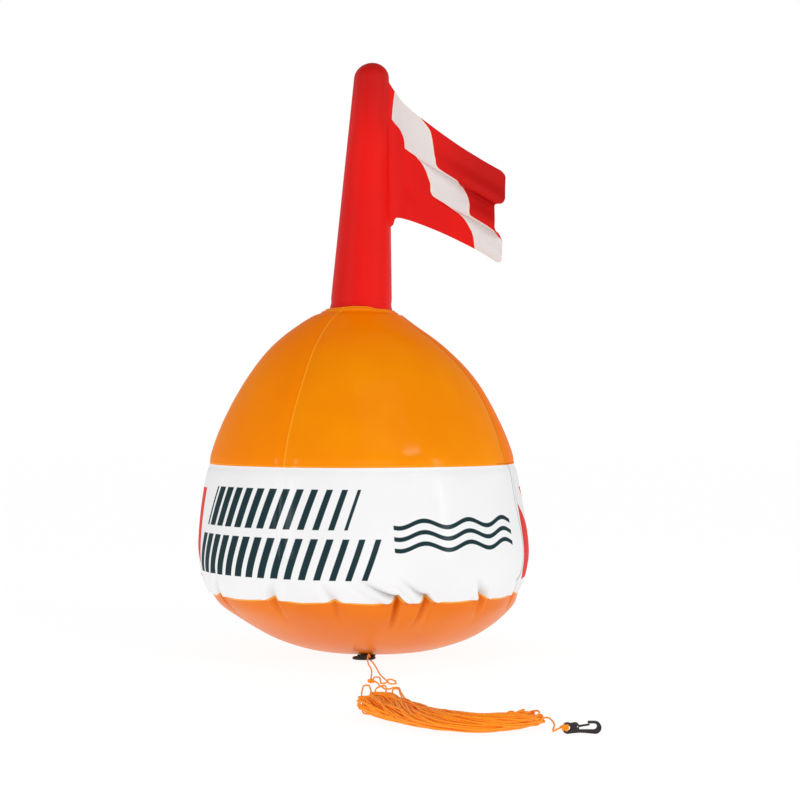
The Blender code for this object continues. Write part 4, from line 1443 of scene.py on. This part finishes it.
def mast_outline(place):
    """Radius and height of the mast for a place from 0 at its foot to 1 at its tip."""
    straight = np.clip(place / 0.86, 0.0, 1.0)
    turn = np.radians(90.0) * np.clip((place - 0.86) / 0.14, 0.0, 1.0)
    radius = MAST_FOOT_RADIUS + (MAST_TOP_RADIUS - MAST_FOOT_RADIUS) * straight
    radius = np.where(place > 0.86, MAST_TOP_RADIUS * np.cos(turn), radius)
    height = MAST_FOOT + (MAST_SHOULDER - MAST_FOOT) * straight
    return radius, height + (MAST_TOP - MAST_SHOULDER) * np.sin(turn)


# Soft dents in the mast, as angle, height, depth, and half size round and up
MAST_DENTS = (
    (48, 0.592, 0.0012, 24, 0.014),
    (-62, 0.600, 0.0009, 14, 0.045),
    (40, 0.567, -0.0008, 20, 0.010),
    (-20, 0.520, 0.0004, 30, 0.030),
    (10, 0.440, 0.0004, 22, 0.040),
    (150, 0.560, 0.0010, 30, 0.030),
    (-140, 0.480, 0.0009, 26, 0.040),
)


def mast_form(angle, height):
    """Slack along the seam behind, soft dents, and a rolled foot where the mast is welded on."""
    foot = height - MAST_FOOT
    form = -0.0007 * hump(foot - 0.0060, 0.0030) + 0.0005 * hump(foot - 0.0012, 0.0014)
    behind = turned_by(angle, -100.0)
    form += -0.0008 * hump(behind, 5.0) + 0.0004 * hump(behind, 1.2)
    for middle, level, depth, wide, high in MAST_DENTS:
        form -= depth * hump(turned_by(angle, middle), wide) * hump(height - level, high)
    return form


bm = spun_chart(np.linspace(0.0, 0.9999, 130), 96)
mast_mesh = mesh_from(bm, "mast")
chart = coordinates(mast_mesh)
mast_angle = np.degrees(np.arctan2(chart[:, 0], -chart[:, 1]))
mast_radius, mast_height = mast_outline(chart[:, 2])
mast_radius = (mast_radius + mast_form(mast_angle, mast_height)) * np.hypot(chart[:, 0], chart[:, 1])
lean = MAST_FOOT_X + (MAST_TOP_X - MAST_FOOT_X) * (mast_height - MAST_FOOT) / (MAST_TOP - MAST_FOOT)
mast_height = mast_height + neck_wave(mast_angle) * smooth_step(1 - (mast_height - MAST_FOOT) / 0.030)
mast_points = np.stack([
    lean + mast_radius * np.sin(np.radians(mast_angle)),
    -mast_radius * np.cos(np.radians(mast_angle)),
    mast_height,
], axis=1)
set_coordinates(mast_mesh, mast_points)
print(f"mast: {len(mast_mesh.polygons)} faces")

# %% [markdown]
# The flag's pleats are the part that the eye goes to. Two soft creases start part way along the
# flag and deepen towards its free end. Above a crease the cloth swells to the front, and just
# under it the cloth falls back behind, like one shingle over the next. The free end steps back
# between the creases. Near the mast the sheet clings to the front of the tube and leaves it in
# one smooth curve, because both are cut from one sheet.

# %% The flag
FLAG_UPPER_EDGE = (
    (0.0150, 0.6425), (0.0330, 0.6149), (0.0517, 0.5940), (0.0957, 0.5610), (0.1309, 0.5390),
    (0.1562, 0.5247),
)
FLAG_LOWER_EDGE = (
    (0.0088, 0.4560), (0.0297, 0.4653), (0.0385, 0.4752), (0.0781, 0.4620), (0.1243, 0.4400),
    (0.1510, 0.4235),
)
FLAG_COLUMNS = 150
FLAG_ROWS = 170
FLAG_THICKNESS = 0.0020
PLEAT_DEPTH = 0.0105
# For each crease: the share down the flag at the mast and at the free end, and where it starts
CREASES = ((0.362, 0.390, 0.35), (0.650, 0.698, 0.50))
# How far the free end is set back, in shares of the flag's length, by the share down
FREE_END = (
    (0.000, 0.046), (0.008, 0.024), (0.022, 0.008), (0.045, 0.000), (0.295, 0.001), (0.330, 0.010),
    (0.360, 0.028), (0.382, 0.060), (0.394, 0.080), (0.420, 0.086), (0.650, 0.080), (0.688, 0.068),
    (0.704, 0.034), (0.722, 0.008), (0.750, 0.000), (0.950, 0.000), (0.978, 0.010), (0.992, 0.028),
    (1.000, 0.056),
)
LEAVES_AT = 0.8
MERGE_WIDTH = 0.030
SUNK = 0.0030


def edge_at(edge, along):
    points = np.array([tuple(point) for point in curve_through([(*place, 0.0) for place in edge], 20)])
    places = np.linspace(0.0, 1.0, len(points))
    return np.interp(along, places, points[:, 0]), np.interp(along, places, points[:, 1])


def pleat_swell(along, down):
    """How far the cloth comes to the front, as a share of the pleats' depth."""
    total = 0.45 * smooth_step((along - 0.45) / 0.5) * hump(down - 0.93, 0.12)
    for first, last, start in CREASES:
        above = first + (last - first) * along - down
        lip = hump(0.050, 0.120)
        swell = np.where(above > 0, hump(above - 0.050, 0.120), lip * hump(above, 0.011))
        total += smooth_step((along - start) / 0.42) * swell
    return total


def small_folds(along, down):
    """The short crease where the flag leaves the mast, a dent above its foot, and slow waves."""
    short = hump(down - 0.232 - 0.06 * (along - 0.2), 0.010) * hump(along - 0.22, 0.08)
    dent = hump(along - 0.43, 0.07) * hump(down - 0.76, 0.05)
    wave = np.sin(9.0 * along + 5.0 * down) * smooth_step((along - 0.2) / 0.5)
    return 0.0009 * short + 0.0020 * dent + 0.0007 * wave


def mast_at(height):
    """The mast's radius and the place of its middle at a height."""
    straight = np.clip((height - MAST_FOOT) / (MAST_SHOULDER - MAST_FOOT), 0.0, 1.0)
    rise = (height - MAST_FOOT) / (MAST_TOP - MAST_FOOT)
    radius = MAST_FOOT_RADIUS + (MAST_TOP_RADIUS - MAST_FOOT_RADIUS) * straight
    dome = np.clip((height - MAST_SHOULDER) / (MAST_TOP - MAST_SHOULDER), 0.0, 0.98)
    radius = radius * np.sqrt(1 - dome ** 2)
    return radius, MAST_FOOT_X + (MAST_TOP_X - MAST_FOOT_X) * rise


def off_the_mast(x, z):
    """How far in front of the mast's middle the sheet runs: just inside its front, then off it."""
    radius, middle = mast_at(z)
    radius = np.maximum(radius - SUNK, 0.002)
    across = np.clip(x - middle, 0.0, None)
    leave = LEAVES_AT * radius
    hugging = np.sqrt(radius ** 2 - np.minimum(across, leave) ** 2)
    width = radius - leave + MERGE_WIDTH
    t = np.clip((across - leave) / width, 0.0, 1.0)
    slope = LEAVES_AT / math.sqrt(1 - LEAVES_AT ** 2)
    height_at_leave = radius * math.sqrt(1 - LEAVES_AT ** 2)
    curve = height_at_leave * (1 - t) ** 2 * (1 + 2 * t) - slope * width * t * (1 - t) ** 2
    return np.where(across < leave, hugging, curve)


def down_density(place):
    density = 1.0 + 1.5 * hump(place, 0.03) + 1.5 * hump(place - 1.0, 0.03)
    for first, last, _ in CREASES:
        density += 2.5 * hump(place - (first + last) / 2, 0.03)
    return density


def along_density(place):
    return 1.0 + 1.2 * hump(place - 0.2, 0.12) + 1.2 * hump(place - 1.0, 0.08)


bm = bmesh.new()
bmesh.ops.create_grid(bm, x_segments=FLAG_COLUMNS, y_segments=FLAG_ROWS, size=0.5)
flag_mesh = mesh_from(bm, "flag")
chart = coordinates(flag_mesh)
column = np.round((chart[:, 0] + 0.5) * FLAG_COLUMNS).astype(int)
row = np.round((0.5 - chart[:, 1]) * FLAG_ROWS).astype(int)
along = spread(0.0, 1.0, FLAG_COLUMNS + 1, along_density)[column]
down = spread(0.0, 1.0, FLAG_ROWS + 1, down_density)[row]
set_back = np.interp(down, *np.array(FREE_END).T)
along = along - set_back * along ** 10
top_x, top_z = edge_at(FLAG_UPPER_EDGE, along)
foot_x, foot_z = edge_at(FLAG_LOWER_EDGE, along)
flag_x = top_x + (foot_x - top_x) * down
flag_z = top_z + (foot_z - top_z) * down
flag_y = 0.0030 * smooth_step((along - 0.4) / 0.4) - PLEAT_DEPTH * pleat_swell(along, down)
flag_y += small_folds(along, down) - off_the_mast(flag_x, flag_z)
set_coordinates(flag_mesh, np.stack([flag_x, flag_y, flag_z], axis=1))
add_map(flag_mesh, np.stack([loop_values(flag_mesh, along), loop_values(flag_mesh, down)], axis=1))
for polygon in flag_mesh.polygons:
    polygon.material_index = FLAG_FACES
print(f"flag: {len(flag_mesh.polygons)} faces")

# %% [markdown]
# The white stripe is drawn in the flag's own map. Along runs from the mast to the free end, and
# down from the upper to the lower edge. Each pleat hides a strip of cloth, so the stripe jumps
# to the right from one pleat to the next. A Float Curve node holds each edge of the stripe.

# %% Red vinyl, and the flag with its stripe
STRIPE_LEFT_EDGE = (
    (0.000, 0.206), (0.109, 0.188), (0.222, 0.178), (0.233, 0.288), (0.273, 0.356), (0.320, 0.378),
    (0.366, 0.389), (0.376, 0.462), (0.405, 0.487), (0.443, 0.508), (0.500, 0.526), (0.550, 0.540),
    (0.662, 0.562), (0.676, 0.610), (0.694, 0.675), (0.720, 0.705), (0.746, 0.726), (0.800, 0.750),
    (0.846, 0.766), (1.000, 0.788),
)
STRIPE_RIGHT_EDGE = (
    (0.000, 0.453), (0.045, 0.498), (0.100, 0.514), (0.168, 0.525), (0.289, 0.544), (0.362, 0.568),
    (0.374, 0.660), (0.405, 0.692), (0.439, 0.710), (0.490, 0.727), (0.543, 0.737), (0.668, 0.749),
    (0.682, 0.875), (0.700, 0.945), (0.742, 0.996), (0.780, 1.020),
)
RED_LIGHT = (0.75, 0.0050, 0.0025)
RED_DEEP = (0.66, 0.0045, 0.0025)
# The red of painted shade, on the mast and the flag
PAINTED_SHADE_RED = (0.47, 0.0045, 0.0030)


def float_curve(tree, value, points):
    """A smooth curve through the given points, which never swings past one."""
    node = add_node(tree, "ShaderNodeFloatCurve")
    curve = node.mapping.curves[0]
    while len(curve.points) < len(points):
        curve.points.new(0.5, 0.5)
    for point, (place, level) in zip(curve.points, points):
        point.location = (place, level)
        point.handle_type = "AUTO_CLAMPED"
    node.mapping.use_clip = False
    node.mapping.update()
    feed(tree, node.inputs["Value"], value)
    return node.outputs["Value"]


(RED_VINYL, red_tree, red_shader, red_colour), (FLAG_VINYL, flag_tree, flag_shader, flag_colour) = (
    vinyl_material(name, RED_LIGHT, RED_DEEP, 0.50, coat=0.0, specular=0.12, clouds=9.0)
    for name in ("red_vinyl", "flag_vinyl")
)
# Painted shade: the mast is dimmer towards its tip and down its left side
mast_x, _, mast_z = place_parts(red_tree)
painted_shade_tip = mapped(red_tree, mast_z, 0.545, 0.640, 0.0, 0.85)
painted_shade_left = mapped(red_tree, mast_x, -0.030, 0.004, 0.45, 0.0)
painted_shade_on_mast = arithmetic(red_tree, "MAXIMUM", painted_shade_tip, painted_shade_left)
paint(red_tree, red_shader, mixed(red_tree, painted_shade_on_mast, red_colour, PAINTED_SHADE_RED))
flag_along, flag_down, _ = place_parts(flag_tree, "UV")
left_edge = float_curve(flag_tree, flag_down, STRIPE_LEFT_EDGE)
right_edge = float_curve(flag_tree, flag_down, STRIPE_RIGHT_EDGE)
from_left = arithmetic(flag_tree, "SUBTRACT", flag_along, left_edge)
from_right = arithmetic(flag_tree, "SUBTRACT", right_edge, flag_along)
stripe_gap = arithmetic(flag_tree, "MINIMUM", from_left, from_right)
stripe = mapped(flag_tree, stripe_gap, -0.003, 0.003)
# Painted shade: the upper pleats are dimmer, most of all towards the free end
upper_share = mapped(flag_tree, flag_down, 0.55, 0.80, 1.0, 0.0)
painted_shade_pleats = arithmetic(flag_tree, "MULTIPLY", upper_share, mapped(flag_tree, flag_along, 0.35, 0.85))
flag_colour = mixed(flag_tree, painted_shade_pleats, flag_colour, PAINTED_SHADE_RED)
free_gap = arithmetic(flag_tree, "SUBTRACT", 1.0, flag_along)
hem_gap = arithmetic(flag_tree, "MINIMUM", flag_down, free_gap)
hem = mapped(flag_tree, hem_gap, 0.008, 0.014, 0.55, 0.0)
red_of_flag = mixed(flag_tree, hem, flag_colour, (0.33, 0.004, 0.003))
edge_line = mapped(flag_tree, stripe_gap, 0.004, 0.011, 1.0, 0.0)
white_of_flag = mixed(flag_tree, edge_line, (0.67, 0.625, 0.615), (0.76, 0.68, 0.57))
paint(flag_tree, flag_shader, mixed(flag_tree, stripe, red_of_flag, white_of_flag))

# %% Join the flag to the mast
RED_MATERIALS = [RED_VINYL, FLAG_VINYL]
flag_item = bpy.data.objects.new("flag", flag_mesh)
mast_item = bpy.data.objects.new("mast", mast_mesh)
for item in (flag_item, mast_item):
    scene.collection.objects.link(item)
    for material in RED_MATERIALS:
        item.data.materials.append(material)
mast_mesh.uv_layers.new(name="band_map")
solidify = flag_item.modifiers.new("thickness", "SOLIDIFY")
solidify.thickness = FLAG_THICKNESS
solidify.offset = 0.0
union = mast_item.modifiers.new("union", "BOOLEAN")
union.operation = "UNION"
union.object = flag_item
union.solver = "EXACT"
red_mesh = applied_mesh(mast_item)
bpy.data.objects.remove(flag_item)
red_mesh.shade_smooth()
red_mesh.set_sharp_from_angle(angle=math.radians(48))
mast_and_flag = add_piece("mast_with_flag", red_mesh, RED_MATERIALS)
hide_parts("mast_and_flag")
print(f"mast and flag: {len(red_mesh.polygons)} faces")

# %% [markdown]
# ## The small parts
#
# The ring, the strap, the disc under the float, the valve and the snap hook were modelled to
# their true forms in the frame, and what they lack is finish. Each is copied from the frame, its
# corners are merged so that light runs over them, and its edges are broken by a fraction of a
# millimetre: a moulding never has a perfectly sharp edge, and the broken edge is what shines.

# %% Finish a part of the frame
SHARP_ANGLE = math.radians(38)


def finished(node, name, material, edge, body="buoy"):
    """A copy of a frame part with merged corners, broken edges and its own material."""
    bm = bmesh.new()
    bm.from_mesh(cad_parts[node].data)
    bmesh.ops.remove_doubles(bm, verts=bm.verts, dist=0.00001)
    bmesh.ops.recalc_face_normals(bm, faces=bm.faces)
    bm.verts.ensure_lookup_table()
    corners = [tuple(vert.co) for vert in bm.verts]
    faces = [[vert.index for vert in face.verts] for face in bm.faces]
    bm.free()
    mesh = bpy.data.meshes.new(name)
    mesh.from_pydata(corners, [], faces)
    item = bpy.data.objects.new(name, mesh)
    scene.collection.objects.link(item)
    flat = item.modifiers.new("flat", "DECIMATE")
    flat.decimate_type = "DISSOLVE"
    flat.angle_limit = math.radians(1.5)
    broken = item.modifiers.new("edges", "BEVEL")
    broken.width = edge
    broken.segments = 2
    broken.limit_method = "ANGLE"
    broken.angle_limit = SHARP_ANGLE
    mesh = applied_mesh(item)
    mesh.shade_smooth()
    mesh.set_sharp_from_angle(angle=SHARP_ANGLE)
    piece = add_piece(name, mesh, [material], body)
    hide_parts(node)
    return piece


# %% [markdown]
# Four materials finish them. Moulded plastic has a fine even grain. The strap is woven, so two
# sets of waves cross in its bump. The valve is softer, milkier vinyl, and the pin is drawn wire
# with its scratches along it.

# %% Plastic, strap, soft vinyl and steel
def noise_finish(tree, shader, scale, distance, first, second, stretch=(1.0, 1.0, 1.0), edges=None):
    """A noise as a bump, and as a mix of two close colours."""
    place = add_node(tree, "ShaderNodeMapping")
    place.inputs["Scale"].default_value = stretch
    feed(tree, place.inputs["Vector"], texture_place(tree))
    grain = noise(tree, scale, 2.0, place.outputs["Vector"])
    add_bump(tree, shader, grain, 0.5, distance)
    tone = mapped(tree, grain, *edges) if edges else grain
    paint(tree, shader, mixed(tree, tone, first, second))


BLACK_PLASTIC, plastic_tree, plastic_shader = new_material("black_plastic", 0.34, 0.32)
PLASTIC_TONES = (0.011, 0.007, 0.006), (0.018, 0.011, 0.009)
noise_finish(plastic_tree, plastic_shader, 2600.0, 0.00003, *PLASTIC_TONES, edges=(0.3, 0.7))

WEBBING, strap_tree, strap_shader = new_material("woven_strap", 0.75, 0.25)
THREAD_RATE = 2 * math.pi / 0.0011
strap_waves = [
    arithmetic(strap_tree, "SINE", arithmetic(strap_tree, "MULTIPLY", side, THREAD_RATE))
    for side in place_parts(strap_tree)[:2]
]
weave = arithmetic(strap_tree, "MULTIPLY", *strap_waves)
add_bump(strap_tree, strap_shader, weave, 1.0, 0.0002)
thread = mapped(strap_tree, weave, -1.0, 1.0)
paint(strap_tree, strap_shader, mixed(strap_tree, thread, (0.012, 0.012, 0.013), (0.040, 0.040, 0.043)))

SOFT_VINYL, valve_tree, valve_shader = new_material("soft_vinyl", 0.38, 0.4)
VALVE_TONES = (0.70, 0.69, 0.64), (0.80, 0.79, 0.76)
noise_finish(valve_tree, valve_shader, 220.0, 0.00008, *VALVE_TONES)

STEEL, pin_tree, pin_shader = new_material("drawn_steel", 0.30)
pin_shader.inputs["Metallic"].default_value = 1.0
PIN_TONES = (0.48, 0.48, 0.49), (0.62, 0.62, 0.63)
noise_finish(pin_tree, pin_shader, 900.0, 0.00002, *PIN_TONES, stretch=(4.0, 0.2, 4.0))

PATCH_VINYL = vinyl_material("patch_vinyl", (0.88, 0.205, 0.001), (0.85, 0.185, 0.001), 0.34)[0]
print("materials:", len(bpy.data.materials))

# %% The finished small parts
finished("base_patch", "welded_disc", PATCH_VINYL, 0.0004)
finished("inflation_valve", "mouth_valve", SOFT_VINYL, 0.0002)
finished("line_tab", "strap_loop", WEBBING, 0.0002)
finished("line_ring", "moulded_ring", BLACK_PLASTIC, 0.00025)
snap_hook = finished("hook_body", "snap_hook_body", BLACK_PLASTIC, 0.00012)
snap_gate = finished("hook_gate", "snap_hook_gate", BLACK_PLASTIC, 0.00008, "gate")
gate_pin = finished("hook_pin", "snap_hook_pin", STEEL, 0.00005)
print("small parts:", snap_hook.name, snap_gate.name, gate_pin.name)
